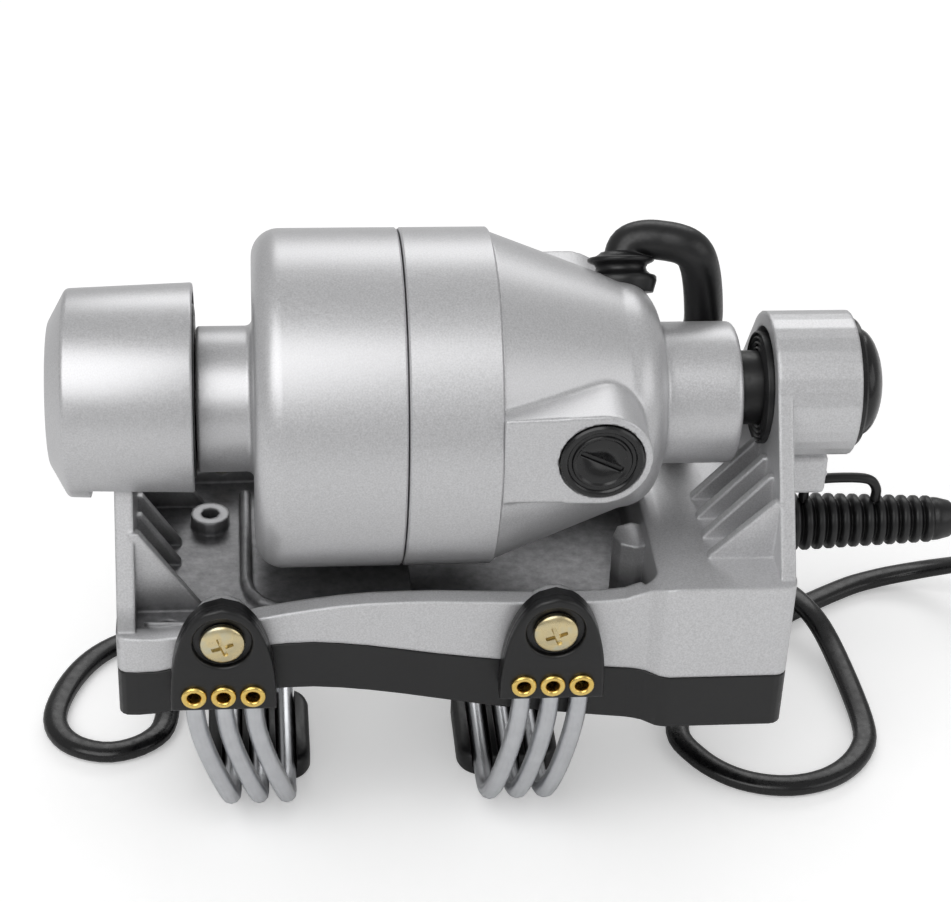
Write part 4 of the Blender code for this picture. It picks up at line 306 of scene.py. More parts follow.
# %% Turning and placing helpers
FINE = 144
AXIS_Z = 0.104
MOTOR_Z = 0.1018
MERGE_WITHIN = 0.000002


def smoothed(mesh, degrees):
    """Smooth shading that breaks at edges sharper than the angle."""
    mesh.shade_smooth()
    mesh.set_sharp_from_angle(angle=math.radians(degrees))


def finished(name, shape, material, smooth=35):
    """A mesh object at the origin, its place in its mesh, its faces outwards."""
    mesh = bpy.data.meshes.new(name)
    bmesh.ops.remove_doubles(shape, verts=shape.verts, dist=MERGE_WITHIN)
    bmesh.ops.recalc_face_normals(shape, faces=shape.faces)
    shape.to_mesh(mesh)
    shape.free()
    smoothed(mesh, smooth)
    mesh.materials.append(material)
    return in_scene(name, mesh)


def basis(centre, along):
    """A placing matrix whose Z runs along a direction."""
    turn = Vector(along).to_track_quat("Z", "Y").to_matrix().to_4x4()
    return Matrix.Translation(centre) @ turn


def round_section(radius, count):
    """The corners of a circle."""
    return [(radius * math.cos(2 * math.pi * i / count), radius * math.sin(2 * math.pi * i / count))
            for i in range(count)]


def spun(profile, centre, along, steps=FINE, closed=False):
    """A profile of (radius, distance) turned once round a line through the centre."""
    shape = bmesh.new()
    place = basis(centre, along)
    rings = []
    for radius, height in profile:
        corners = round_section(radius, steps) if radius else [(0, 0)]
        rings.append([shape.verts.new(place @ Vector((a, b, height))) for a, b in corners])
    pairs = list(zip(rings, rings[1:]))
    if closed:
        pairs.append((rings[-1], rings[0]))
    for a, b in pairs:
        for i in range(steps):
            j = (i + 1) % steps
            corners = [a[i % len(a)], a[j % len(a)], b[j % len(b)], b[i % len(b)]]
            shape.faces.new([v for k, v in enumerate(corners) if v not in corners[:k]])
    return shape


def turned(name, profile, height, material, steps=FINE):
    """A piece spun round a line along the machine, at a height."""
    return finished(name, spun(profile, (0, 0, height), (1, 0, 0), steps), material)


def quarter_turn(count):
    """Angles from nothing to a quarter turn."""
    return [math.pi / 2 * i / count for i in range(count + 1)]


def arc(centre, radius, start, end, count):
    """Points on an arc from one angle to another, in degrees."""
    return [
        (centre[0] + radius * math.cos(math.radians(start + (end - start) * i / count)),
         centre[1] + radius * math.sin(math.radians(start + (end - start) * i / count)))
        for i in range(count + 1)
    ]


def joined(first, second):
    """Two shapes as one."""
    mesh = bpy.data.meshes.new("part")
    second.to_mesh(mesh)
    second.free()
    first.from_mesh(mesh)
    return first


def standing_for(obj, body, slot, *nodes):
    """Attaches a piece to its body and hides the solids it is shown instead of. The slot is not used.
    """
    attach(obj, body)
    if nodes:
        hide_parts(*nodes)
    return obj


print("helpers ready")

# %% [markdown]
# Paths come up often: the cord, the motor's lead, the springs. One helper draws a smooth curve
# through a few chosen points, and another sweeps a round or flat section along it.

# %% Path helpers
def through(points, steps=12):
    """A smooth line through points."""
    points = [Vector(p) for p in points]
    spine = [points[0] * 2 - points[1], *points, points[-1] * 2 - points[-2]]
    line = []
    for a, b, c, d in zip(spine, spine[1:], spine[2:], spine[3:]):
        for i in range(steps):
            t = i / steps
            line.append((b * 2 + (c - a) * t + (a * 2 - b * 5 + c * 4 - d) * t**2
                         + (b * 3 - a - c * 3 + d) * t**3) / 2)
    return [*line, points[-1]]


def line_length(line):
    return sum((b - a).length for a, b in zip(line, line[1:]))


def evened(line, gap):
    """The line read at equal steps."""
    total = line_length(line)
    count = max(2, round(total / gap))
    out, goal, gone = [line[0]], total / count, 0.0
    for a, b in zip(line, line[1:]):
        step = (b - a).length
        while step and goal <= gone + step + 1e-9 and len(out) < count:
            out.append(a.lerp(b, (goal - gone) / step))
            goal += total / count
        gone += step
    return [*out, line[-1]]


def ring_faces(shape, rings):
    """Faces from each ring of corners to the next."""
    for a, b in zip(rings, rings[1:]):
        for i in range(len(a)):
            j = (i + 1) % len(a)
            shape.faces.new((a[i], a[j], b[j], b[i]))


def swept(line, section, side_of, scale_of=lambda share: 1.0):
    """A section of (across, up) points carried along a line, with closed ends."""
    shape = bmesh.new()
    rings = []
    total = len(line) - 1
    for i, point in enumerate(line):
        along = (line[min(i + 1, total)] - line[max(i - 1, 0)]).normalized()
        side = side_of(along)
        side = (side - along * side.dot(along)).normalized()
        up = side.cross(along)
        size = scale_of(i / total)
        rings.append([shape.verts.new(point + side * a * size + up * b * size)
                      for a, b in section])
    ring_faces(shape, rings)
    shape.faces.new(rings[0])
    shape.faces.new(rings[-1])
    return shape


def level_side(along):
    """A direction across a line and flat on the floor."""
    return Vector((along.y, -along.x, 0))


# %% [markdown]
# The mains cord is a flat twin flex, about 6 mm wide and 4 mm thick. It leaves the strain
# relief, drops to the table, curls beside the machine and behind it, peeks out at the cap end
# and ends wound up behind the motor, where the unseen length is stored.

# %% Mains cord
CORD_WIDTH = 0.0060
CORD_THICKNESS = 0.0038
INLET_Y, INLET_Z = 0.0135, AXIS_Z - 0.0487
EXIT = Vector((0.1234, INLET_Y, INLET_Z))
CORD_ROUTE = (
    (0.1350, 0.0139, 0.0545), (0.1440, 0.0170, 0.0505), (0.1505, 0.0245, 0.0430),
    (0.1530, 0.0345, 0.0325), (0.1505, 0.0450, 0.0220), (0.1435, 0.0540, 0.0130),
    (0.1335, 0.0595, 0.0070), (0.1215, 0.0600, 0.0040), (0.1100, 0.0560, 0.0031),
    (0.0890, 0.0425, 0.0031), (0.0665, 0.0225, 0.0031), (0.0565, 0.0000, 0.0031),
    (0.0597, -0.0120, 0.0031), (0.0685, -0.0208, 0.0031), (0.0805, -0.0240, 0.0031),
    (0.0925, -0.0208, 0.0031), (0.1013, -0.0120, 0.0031), (0.1045, 0.0000, 0.0031),
    (0.1020, 0.0270, 0.0062), (0.0975, 0.0390, 0.0098), (0.0905, 0.0500, 0.0103),
    (0.0800, 0.0580, 0.0078), (0.0660, 0.0620, 0.0045), (0.0500, 0.0620, 0.0033),
    (0.0208, 0.0545, 0.0031), (-0.0092, 0.0480, 0.0031), (-0.0602, 0.0460, 0.0031),
    (-0.0762, 0.0440, 0.0031), (-0.0890, 0.0370, 0.0031), (-0.0970, 0.0250, 0.0031),
    (-0.1005, 0.0100, 0.0031), (-0.0964, 0.0001, 0.0031), (-0.0865, -0.0040, 0.0031),
    (-0.0766, 0.0001, 0.0031), (-0.0725, 0.0100, 0.0031), (-0.0725, 0.0340, 0.0072),
    (-0.0740, 0.0450, 0.0103), (-0.0712, 0.0590, 0.0100), (-0.0612, 0.0710, 0.0108),
)
COIL_CENTRE = Vector((-0.0092, 0.0965, 0))
COIL_INNER, COIL_SPACING = 0.0245, 0.0075
COIL_UPPER, COIL_HALF, COIL_LOWER, COIL_QUARTER = 54, 12, 60, 6
COIL_RISE, COIL_SPREAD, COIL_LOW, TURN_POINTS = 0.0045, 0.0090, 0.0033, 24


def smooth_share(share):
    share = min(max(share, 0), 1)
    return share * share * (3 - 2 * share)


def coil_line():
    """Loops that wind in on the upper layer and out again on the floor."""
    high = COIL_LOW + COIL_SPACING
    total = COIL_UPPER + COIL_HALF + COIL_LOWER
    line = []
    for i in range(total + 1):
        angle = math.pi - 2 * math.pi * i / TURN_POINTS
        inward = max(COIL_UPPER - i, i - COIL_UPPER - COIL_HALF, 0)
        flare = smooth_share((i - total + COIL_HALF) / COIL_HALF)
        lift = smooth_share((i - total + COIL_QUARTER) / COIL_QUARTER)
        drop = (COIL_LOW - high) * smooth_share((i - COIL_UPPER) / COIL_HALF)
        z = high + drop + COIL_RISE * lift
        radius = COIL_INNER + COIL_SPACING * inward / TURN_POINTS + COIL_SPREAD * flare
        line.append(COIL_CENTRE + Vector((radius * math.cos(angle), radius * math.sin(angle), z)))
    return line


coil = coil_line()
into = (coil[0] - coil[1]).normalized()
out_of = (coil[-1] - coil[-2]).normalized()
route = [EXIT, EXIT + Vector((CORD_WIDTH, 0, 0)), *[Vector(p) for p in CORD_ROUTE],
         coil[0] + into * CORD_WIDTH * 2, coil[0] + into * CORD_WIDTH, *coil,
         coil[-1] + out_of * CORD_WIDTH]
SOLID_MIDDLE, SETTLE_FROM, SETTLE_OVER, CORD_STEP = 0.0031, 0.05, 0.03, 0.0024
SETTLE = SOLID_MIDDLE - CORD_THICKNESS / 2


def settled(point):
    """The flat cord lies lower than the round solid, by half of what it is thinner."""
    drop = SETTLE * smooth_share((SETTLE_FROM - point.z) / SETTLE_OVER)
    return Vector((point.x, point.y, point.z - drop))


cord_line = [settled(p) for p in evened(through(route, 16), CORD_STEP)]
flat_section = [
    (CORD_WIDTH / 2 * abs(math.cos(a)) ** 0.75 * math.copysign(1, math.cos(a)),
     CORD_THICKNESS / 2 * abs(math.sin(a)) ** 0.8 * math.copysign(1, math.sin(a)))
    for a in (2 * math.pi * (i + 0.5) / 20 for i in range(20))
]
cord = finished("mains_cord_flat", swept(cord_line, flat_section, level_side), CORD_BLACK)
standing_for(cord, "cradle", "black_rubber", "mains_cord", "cord_coil")

# %% [markdown]
# The plug at the end is a plain two pin moulding. It is a box with generous round edges, so a
# bevelled and smoothed cube gives its shape, and its two pins are spun.

# %% Mains plug
PLUG_SIZE, PLUG_EDGE = (0.0340, 0.0236, 0.0148), 0.0042
PIN_R, PIN_LENGTH, PIN_SIDE = 0.0020, 0.0170, 0.0095
plug_start = route[-1]


def rounded_block(size, radius, segments):
    """A box with rounded edges."""
    shape = bmesh.new()
    bmesh.ops.create_cube(shape, size=1)
    bmesh.ops.scale(shape, vec=size, verts=shape.verts)
    bmesh.ops.bevel(shape, geom=list(shape.edges), offset=radius, segments=segments,
                    affect="EDGES", profile=0.5)
    return shape


def end_scale(share, change, reach):
    """A size of one that is changed at the start and comes back over a smooth reach."""
    return 1 + change * (1 - smooth_share(share / reach))


plug_shape = rounded_block(PLUG_SIZE, PLUG_EDGE, 5)
for vert in plug_shape.verts:
    share = (vert.co.x + PLUG_SIZE[0] / 2) / PLUG_SIZE[0]
    vert.co.y *= end_scale(share, -0.34, 0.7)
    vert.co.z *= end_scale(share, -0.38, 0.6)
plug_place = (Matrix.Translation(plug_start + out_of * (PLUG_SIZE[0] / 2))
              @ Matrix.Rotation(math.atan2(out_of.y, out_of.x), 4, "Z"))
bmesh.ops.transform(plug_shape, matrix=plug_place, verts=plug_shape.verts)
plug = finished("mains_plug_body", plug_shape, CAP_BLACK)
standing_for(plug, "cradle", "black_plastic", "mains_plug")
across = Vector((-out_of.y, out_of.x, 0))
pin_profile = [(0, PIN_LENGTH), (0.0011, PIN_LENGTH), (PIN_R, PIN_LENGTH - 0.0012), (PIN_R, 0),
               (0, 0)]
for side, word in ((-1, "right"), (1, "left")):
    root = plug_start + out_of * (PLUG_SIZE[0] - 0.0010) + across * side * PIN_SIDE
    pin = finished("plug_pin_" + word, spun(pin_profile, root, out_of, 32), STEEL)
    standing_for(pin, "cradle", "bare_steel")
print("plug starts at", [round(c, 4) for c in plug_start])

# %% [markdown]
# The strain relief is a moulded rubber sleeve: a flange against the tray, about a dozen rings
# that let it bend, then a smooth taper. Its outline is one profile with a wave in it, so it is
# spun, and a small hanging loop is moulded on its top.

# %% Strain relief
RELIEF_X = 0.0781
RELIEF_LENGTH = 0.0449


def relief_profile():
    line = [(0.0, RELIEF_X), (0.0072, RELIEF_X), (0.0080, RELIEF_X + 0.0006),
            (0.0080, RELIEF_X + 0.0024), (0.0074, RELIEF_X + 0.0030)]
    rings, pitch = 12, 0.0370 / 12
    for ring in range(rings):
        left = RELIEF_X + 0.0030 + ring * pitch
        shrink = 0.0016 * ring / rings
        for share, radius in ((0.04, 0.0061), (0.16, 0.0059), (0.24, 0.0064), (0.32, 0.0071),
                              (0.42, 0.0073), (0.72, 0.0073), (0.84, 0.0071), (0.92, 0.0065)):
            line.append((radius - shrink, left + pitch * share))
    end = RELIEF_X + 0.0400
    return line + [(0.0050, end), (0.0054, end + 0.0004), (0.0053, end + 0.0016),
                   (0.0046, end + 0.0044), (0.0042, end + 0.0049), (0.0, end + 0.0049)]


sleeve = spun(relief_profile(), (0, INLET_Y, INLET_Z), (1, 0, 0), 64)
relief_piece = finished("strain_relief_sleeve", sleeve, RUBBER, 60)
standing_for(relief_piece, "cradle", "black_rubber", "strain_relief")
loop_line = through([
    (RELIEF_X + along, INLET_Y, INLET_Z + up)
    for along, up in ((0.0070, 0.0060), (0.0071, 0.0095), (0.0095, 0.0122), (0.0160, 0.0128),
                      (0.0225, 0.0122), (0.0249, 0.0095), (0.0250, 0.0060))
], 8)
loop = finished("relief_loop", swept(loop_line, round_section(0.00125, 14),
                                     lambda along: Vector((0, 1, 0))), RUBBER)
standing_for(loop, "cradle", "black_rubber")
print("relief ends at", round(RELIEF_X + RELIEF_LENGTH, 4))

# %% [markdown]
# The motor's front shell is a drum with one well rounded edge, a small fillet into the neck, and
# a crisp edge where the two shells meet. The step at that joint reads as a thin dark line.

# %% Front shell
BODY_R, INSIDE_R, NECK_R = 0.0386, 0.0350, 0.0166
FRONT_X, SEAM_X, DRUM_X = -0.0498, -0.0167, 0.0037
front_profile = [
    (0.0, SEAM_X - 0.0030), (INSIDE_R, SEAM_X - 0.0030), (INSIDE_R, SEAM_X - 0.0002),
    (BODY_R - 0.0004, SEAM_X - 0.0002), (BODY_R, SEAM_X - 0.0006),
    *arc((BODY_R - 0.0064, FRONT_X + 0.0064), 0.0064, 0, -90, 14),
    *arc((NECK_R + 0.0016, FRONT_X - 0.0016), 0.0016, 90, 180, 6),
    (NECK_R, -0.0616), *arc((0.0158, -0.0616), 0.0008, 0, -90, 4), (0.0060, -0.0624),
    (0.0060, -0.0799), (0.0, -0.0799),
]
front_shell = turned("front_shell_turned", front_profile, MOTOR_Z, SILVER)
standing_for(front_shell, "motor", "cast_silver", "motor_front_shell")

# %% [markdown]
# The rear shell is a short drum, a step, a long cone and a round shoulder into the neck, with an
# arm on each side that ends in a round boss for the brush. Real castings have soft corners where
# such forms meet. Joining the forms, rebuilding the skin in small even cells and relaxing it
# gives those fillets; the drum in front stays crisp.

# %% Rear shell
drum_profile = [
    (0.0, SEAM_X + 0.0030), (INSIDE_R, SEAM_X + 0.0030), (INSIDE_R, SEAM_X + 0.0002),
    (BODY_R - 0.0004, SEAM_X + 0.0002), (BODY_R, SEAM_X + 0.0006), (BODY_R, DRUM_X - 0.0003),
    (BODY_R - 0.0003, DRUM_X), (0.0345, DRUM_X + 0.0001), (0.0, DRUM_X + 0.0001),
]
drum = turned("rear_drum", drum_profile[::-1], MOTOR_Z, SILVER)
standing_for(drum, "motor", "cast_silver")

CONE_END, SHOULDER_END, NECK_END = 0.0337, 0.0428, 0.0606
REAR_NECK_R, SHOULDER_R, SHOULDER = 0.0164, 0.0263, 0.0091
BOSS_X, BRUSH_Z, ARM_Y = 0.0251, MOTOR_Z + 0.0060, 0.0376
cone_profile = [
    (0.0, NECK_END), (0.0156, NECK_END), (REAR_NECK_R, NECK_END - 0.0008),
    (REAR_NECK_R, SHOULDER_END + 0.0012),
    *[(REAR_NECK_R + (SHOULDER_R - REAR_NECK_R) * math.cos(a), CONE_END + SHOULDER * math.sin(a))
      for a in reversed(quarter_turn(14))],
    (BODY_R - 0.0009, DRUM_X), (BODY_R - 0.0009, DRUM_X - 0.0030), (0.0, DRUM_X - 0.0030),
]


def prism(outline, low, high):
    """A flat outline in X and Z drawn out along Y."""
    shape = bmesh.new()
    front = [shape.verts.new((x, low, z)) for x, z in outline]
    back = [shape.verts.new((x, high, z)) for x, z in outline]
    shape.faces.new(front)
    shape.faces.new(list(reversed(back)))
    for i in range(len(outline)):
        j = (i + 1) % len(outline)
        shape.faces.new((front[i], back[i], back[j], front[j]))
    return shape


def with_step(obj, other, operation):
    """Joins or cuts, and removes the other shape."""
    step = obj.modifiers.new("step", "BOOLEAN")
    step.operation = operation
    step.object = other
    step.solver = "EXACT"
    settle(obj)
    bpy.data.objects.remove(other, do_unlink=True)


def evaluated(obj):
    """The mesh that an object's modifiers, or its curve's thickness, give."""
    bpy.context.view_layer.update()
    graph = bpy.context.evaluated_depsgraph_get()
    return bpy.data.meshes.new_from_object(obj.evaluated_get(graph))


def settle(obj):
    """Turns an object's modifiers into plain mesh."""
    mesh = evaluated(obj)
    obj.modifiers.clear()
    obj.data = mesh


def reskinned(obj, cell, rounds):
    """Rebuilds a solid's skin in even cells and relaxes it, which rounds its corners."""
    remesh = obj.modifiers.new("skin", "REMESH")
    remesh.mode = "VOXEL"
    remesh.voxel_size = cell
    relax = obj.modifiers.new("relax", "SMOOTH")
    relax.factor = 0.5
    relax.iterations = rounds
    settle(obj)
    smoothed(obj.data, 50)


cone = turned("rear_shell_cast", cone_profile, MOTOR_Z, SILVER)
SKIN_CELL, RELAX_ROUNDS, REACH = 0.00055, 5, 0.0500
SEAT_R, SEAT_Y, BOSS_R, ARM_HALF = 0.0095, 0.0333, 0.0113, 0.0104
arm_outline = [
    (DRUM_X - 0.0020, BRUSH_Z - ARM_HALF), *arc((BOSS_X, BRUSH_Z), BOSS_R, -90, 90, 28),
    (DRUM_X - 0.0020, BRUSH_Z + ARM_HALF),
]
arms = finished("arms", prism(arm_outline, -ARM_Y, ARM_Y), SILVER)
with_step(cone, arms, "UNION")
reskinned(cone, SKIN_CELL, RELAX_ROUNDS)
trim = finished("trim", prism([(DRUM_X - 0.0100, REACH), (DRUM_X + 0.0001, REACH),
                               (DRUM_X + 0.0001, REACH * 3), (DRUM_X - 0.0100, REACH * 3)],
                              -REACH, REACH), SILVER)
with_step(cone, trim, "DIFFERENCE")
for side in (-1, 1):
    seat = finished("seat", spun([(0, REACH), (SEAT_R, REACH), (SEAT_R, SEAT_Y), (0, SEAT_Y)],
                                 (BOSS_X, 0, BRUSH_Z), (0, side, 0), 64), SILVER)
    with_step(cone, seat, "DIFFERENCE")
painted(cone.data, SILVER)
standing_for(cone, "motor", "cast_silver", "motor_rear_shell")
print("rear shell faces:", len(cone.data.polygons))

# %% [markdown]
# A brush cap is a black plug with a raised rim, a ring inside it and a screwdriver slot. It is
# spun, and the slot is cut with a thin block.

# %% Brush caps
def notched(obj, size, edge, place, material):
    """Cuts a rounded block out of an object."""
    block = rounded_block(size, edge, 2)
    bmesh.ops.transform(block, matrix=place, verts=block.verts)
    with_step(obj, finished("notch", block, material), "DIFFERENCE")


SLOT_TURN = 0.45


def brush_cap(side, word):
    top = ARM_Y + 0.0008
    profile = [
        (0, top - 0.0006), (0.0056, top - 0.0006), (0.0060, top - 0.0003), (0.0064, top - 0.0003),
        (0.0067, top - 0.0007), (0.0074, top - 0.0007), (0.0077, top - 0.0002), (0.0080, top),
        (0.0088, top), (0.0092, top - 0.0004), (0.0092, ARM_Y - 0.0040), (0, ARM_Y - 0.0040),
    ]
    cap = finished("brush_plug_" + word, spun(profile, (BOSS_X, 0, BRUSH_Z), (0, side, 0), 72),
                   CAP_BLACK)
    slot_at = (BOSS_X, side * (top - 0.0014 + 0.0030), BRUSH_Z)
    place = Matrix.Translation(slot_at) @ Matrix.Rotation(SLOT_TURN, 4, "Y")
    notched(cap, (0.0104, 0.0060, 0.0013), 0.0004, place, CAP_BLACK)
    painted(cap.data, CAP_BLACK)
    standing_for(cap, "motor", "black_plastic", "brush_cap_" + word)


for side, word in ((-1, "near"), (1, "far")):
    brush_cap(side, word)

# %% [markdown]
# The large cap is a drawn bell with a conical band round its end. The two corners of the band are
# a little soft. Its underside is cut away where it passes over the upright, which is why the
# mouth is cut with a block.

# %% Front cap
CAP_RIM_X, CAP_END_X, CAP_RIM_R, CAP_TAPER = -0.0630, -0.0954, 0.0246, 0.0012
BAND_X = CAP_END_X + 0.0041
BAND_R = CAP_RIM_R - CAP_TAPER * (CAP_RIM_X - BAND_X) / (CAP_RIM_X - CAP_END_X)
END_R = BAND_R - 0.0075


def softened(corner, before, after, cut):
    """A corner of a profile replaced by a small curve."""
    corner, before, after = Vector(corner), Vector(before), Vector(after)
    start = corner + (before - corner).normalized() * cut
    end = corner + (after - corner).normalized() * cut
    shares = (0, 0.25, 0.5, 0.75, 1)
    return [tuple(start.lerp(corner, t).lerp(corner.lerp(end, t), t)) for t in shares]


rim, band, end = (CAP_RIM_R, CAP_RIM_X), (BAND_R, BAND_X), (END_R, CAP_END_X)
cap_profile = [
    (0, CAP_END_X + 0.0020), (END_R - 0.0006, CAP_END_X + 0.0020),
    (BAND_R - 0.0020, BAND_X + 0.0012), (CAP_RIM_R - 0.0020, CAP_RIM_X),
    *arc((CAP_RIM_R - 0.0006, CAP_RIM_X - 0.0006), 0.0006, 90, 0, 4),
    *softened(band, rim, end, 0.0009), *softened(end, band, (0, CAP_END_X), 0.0007),
    (0, CAP_END_X),
]
front_cap = turned("front_cap_drawn", cap_profile, AXIS_Z, CAP_SILVER)
mouth_x, mouth_top = (-0.0866, -0.0500), AXIS_Z - 0.0140
mouth = finished("mouth", prism([(mouth_x[0], 0.0700), (mouth_x[1], 0.0700), (mouth_x[1], mouth_top),
                                 (mouth_x[0], mouth_top)], -0.0400, 0.0400), CAP_SILVER)
with_step(front_cap, mouth, "DIFFERENCE")
painted(front_cap.data, CAP_SILVER)
front_cap.data.set_sharp_from_angle(angle=math.radians(35))
standing_for(front_cap, "cradle", "cast_silver", "front_cap")

# %% [markdown]
# Between cap and motor, and between motor and rear ring, sit the rubber bushes. Their faces show
# fine round ridges. The dome at the rear end is a moulded plug with a thin flange.

# %% Bushes and rear dome
front_bush_profile = [(0.0, -0.0627), (0.0171, -0.0627), (0.0175, -0.0634), (0.0180, -0.0634),
                      (0.0184, -0.0627), (0.0190, -0.0627),
                      *arc((0.0190, -0.0637), 0.0010, 90, 0, 5),
                      (0.0200, -0.0764), (0.0167, -0.0767), (0.0167, -0.0847), (0.0160, -0.0854),
                      (0.0, -0.0854)]
front_bush = turned("front_bush_rubber", front_bush_profile, AXIS_Z, RUBBER, 96)
standing_for(front_bush, "bushes", "black_rubber", "front_bush")
ridge = []
for i in range(4):
    outer = 0.0131 - i * 0.0012
    ridge += [(outer, 0.0667), (outer - 0.0003, 0.0664), (outer - 0.0006, 0.0667),
              (outer - 0.0008, 0.0677)]
rear_bush_profile = [
    (0.0, 0.0609), (0.0076, 0.0609), (0.0083, 0.0613), (0.0086, 0.0621), (0.0086, 0.0677),
    *reversed(ridge), (0.0131, 0.0673), (0.0131, 0.0841), (0.0, 0.0841),
]
rear_bush = turned("rear_bush_rubber", rear_bush_profile, AXIS_Z - 0.0011, RUBBER, 96)
standing_for(rear_bush, "bushes", "black_rubber", "rear_bush")
DOME_X = 0.0877
dome_profile = [
    (0, DOME_X + 0.0076), *[(0.0126 * math.sin(a), DOME_X + 0.0022 + 0.0054 * math.cos(a))
                            for a in quarter_turn(14)[1:]],
    (0.0132, DOME_X + 0.0018), (0.0146, DOME_X + 0.0016), (0.0150, DOME_X + 0.0011),
    (0.0150, DOME_X + 0.0001), (0.0131, DOME_X), (0.0131, DOME_X - 0.0030),
    (0, DOME_X - 0.0030),
]
dome = turned("rear_dome", dome_profile, AXIS_Z, CAP_BLACK, 96)
standing_for(dome, "cradle", "black_plastic", "rear_plug")
print("dome ends at", round(DOME_X + 0.0076, 4))

# %% [markdown]
# The motor's lead runs in a black sleeve from a round foot on the cradle to a spool shaped
# grommet on the cone. The sleeve is swept along a smooth curve that flares at the foot, and the
# grommet is a small profile spun round the direction in which the cone faces there.

# %% Motor lead
LEAD_FOOT = Vector((0.0526, 0.0200, 0.0755))
COLLAR_TURN, COLLAR_PAST = math.radians(33), 0.0016
COLLAR_OUT = Vector((0, math.sin(COLLAR_TURN), math.cos(COLLAR_TURN)))
COLLAR_R = (REAR_NECK_R + (SHOULDER_R - REAR_NECK_R)
            * math.sqrt(1 - (COLLAR_PAST / SHOULDER) ** 2))
COLLAR = Vector((CONE_END + COLLAR_PAST, 0, MOTOR_Z)) + COLLAR_OUT * COLLAR_R
lead_top = COLLAR + COLLAR_OUT * 0.0050
lead_line = evened(through([
    LEAD_FOOT, LEAD_FOOT + Vector((0, 0, 0.0060)), LEAD_FOOT + Vector((0.0040, 0.0030, 0.0252)),
    LEAD_FOOT + Vector((0.0040, 0, 0.0372)), LEAD_FOOT + Vector((0, -0.0030, 0.0533)),
    (0.0440, (LEAD_FOOT.y + lead_top.y) / 2, 0.1318),
    lead_top + COLLAR_OUT * 0.0030 + Vector((0.0020, 0, 0)), lead_top - COLLAR_OUT * 0.0030,
], 12), 0.0008)
spool_profile = [
    (0, 0.0064), (0.0046, 0.0064), (0.0050, 0.0060), (0.0060, 0.0054), (0.0072, 0.0052),
    (0.0077, 0.0049), (0.0077, 0.0043), (0.0072, 0.0039), (0.0062, 0.0035), (0.0058, 0.0028),
    (0.0060, 0.0020), (0.0068, 0.0013), (0.0078, 0.0010), (0.0082, 0.0006), (0.0082, -0.0004),
    (0.0074, -0.0030), (0, -0.0030),
]
lead = finished("lead_sleeve", joined(
    swept(lead_line, round_section(0.0046, 28), lambda along: Vector((-0.3, 1, 0)),
          lambda share: end_scale(share, 0.62, 0.08)),
    spun(spool_profile, COLLAR, COLLAR_OUT, 56)), RUBBER, 60)
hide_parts("motor_lead")
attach(lead, "cradle")
print("lead length m:", round(line_length(lead_line), 3))

# %% [markdown]
# Each strap tab is a moulded rubber arch that carries a screw and three eyelets. A flat curve
# with an outline and four holes, given thickness and a round edge, makes it in one go.

# %% Strap tabs
TABS = {}
for word, x, drop in (("front", -0.0575, 0.0410), ("rear", 0.0168, 0.0383)):
    for side_word, side in (("near", -1), ("far", 1)):
        low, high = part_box("%s_%s_tab" % (word, side_word))
        seat, face = (high.y, low.y) if side < 0 else (low.y, high.y)
        TABS[word, side_word] = (x, AXIS_Z - drop, side, seat, face)
HALF, TOP, FOOT_DROP = 0.0119, 0.0094, 0.0188
EYELET_DROP, EYELET_PITCH = 0.0146, 0.0066
EYELET_HOLE, SCREW_HOLE, HEAD_HOLE = 0.0021, 0.0024, 0.0066
TAB_STEP, TAB_OVERLAP = 0.0016, 0.0014


def tab_outline(x, screw_z):
    foot = screw_z - FOOT_DROP
    height = screw_z + TOP - foot
    right = [(x + HALF * (1 - (i / 24) ** 2.6) ** 0.5, foot + height * i / 24) for i in range(24)]
    right = [(x + HALF, foot), *right[1:], (x, foot + height)]
    return right + [(x * 2 - px, pz) for px, pz in reversed(right[:-1])]


def circle(x, z, radius, count=28):
    return [(x + a, z + b) for a, b in round_section(radius, count)]


def sheet_with_holes(name, rings, near_y, far_y, edge):
    """A flat piece in X and Z with holes, from one Y to another, its edges rounded."""
    curve = bpy.data.curves.new(name, "CURVE")
    curve.dimensions = "2D"
    curve.fill_mode = "BOTH"
    curve.extrude = abs(far_y - near_y) / 2 - edge
    curve.bevel_depth = edge
    curve.bevel_resolution = 3
    curve.offset = -edge
    for ring in rings:
        spline = curve.splines.new("POLY")
        spline.points.add(len(ring) - 1)
        for point, (x, z) in zip(spline.points, ring):
            point.co = (x, z, 0, 1)
        spline.use_cyclic_u = True
    obj = in_scene(name, curve)
    shape = bmesh.new()
    shape.from_mesh(evaluated(obj))
    place = Matrix.Translation((0, (near_y + far_y) / 2, 0)) @ Matrix.Rotation(math.pi / 2, 4, "X")
    bmesh.ops.transform(shape, matrix=place, verts=shape.verts)
    bpy.data.objects.remove(obj, do_unlink=True)
    return shape


for (word, side_word), (x, screw_z, side, seat, face) in TABS.items():
    step = face - side * TAB_STEP
    outline = tab_outline(x, screw_z)
    eyelets = [circle(x + k * EYELET_PITCH, screw_z - EYELET_DROP, EYELET_HOLE) for k in (-1, 0, 1)]
    back = sheet_with_holes("back", [outline, circle(x, screw_z, SCREW_HOLE), *eyelets],
                            seat, step, 0.0005)
    front = sheet_with_holes("front", [outline, circle(x, screw_z, HEAD_HOLE, 40), *eyelets],
                             step - side * TAB_OVERLAP, face, 0.0008)
    tab = finished("%s_%s_tab_moulded" % (word, side_word), joined(back, front), RUBBER)
    standing_for(tab, word + "_strap", "black_rubber", "%s_%s_tab" % (word, side_word))
print("tabs:", len(TABS))

# %% [markdown]
# Twelve eyelets and four screws repeat one shape each. Geometry Nodes set one source shape on
# a cloud of points, and each point carries the way it faces, so a change to the source changes
# all of them.

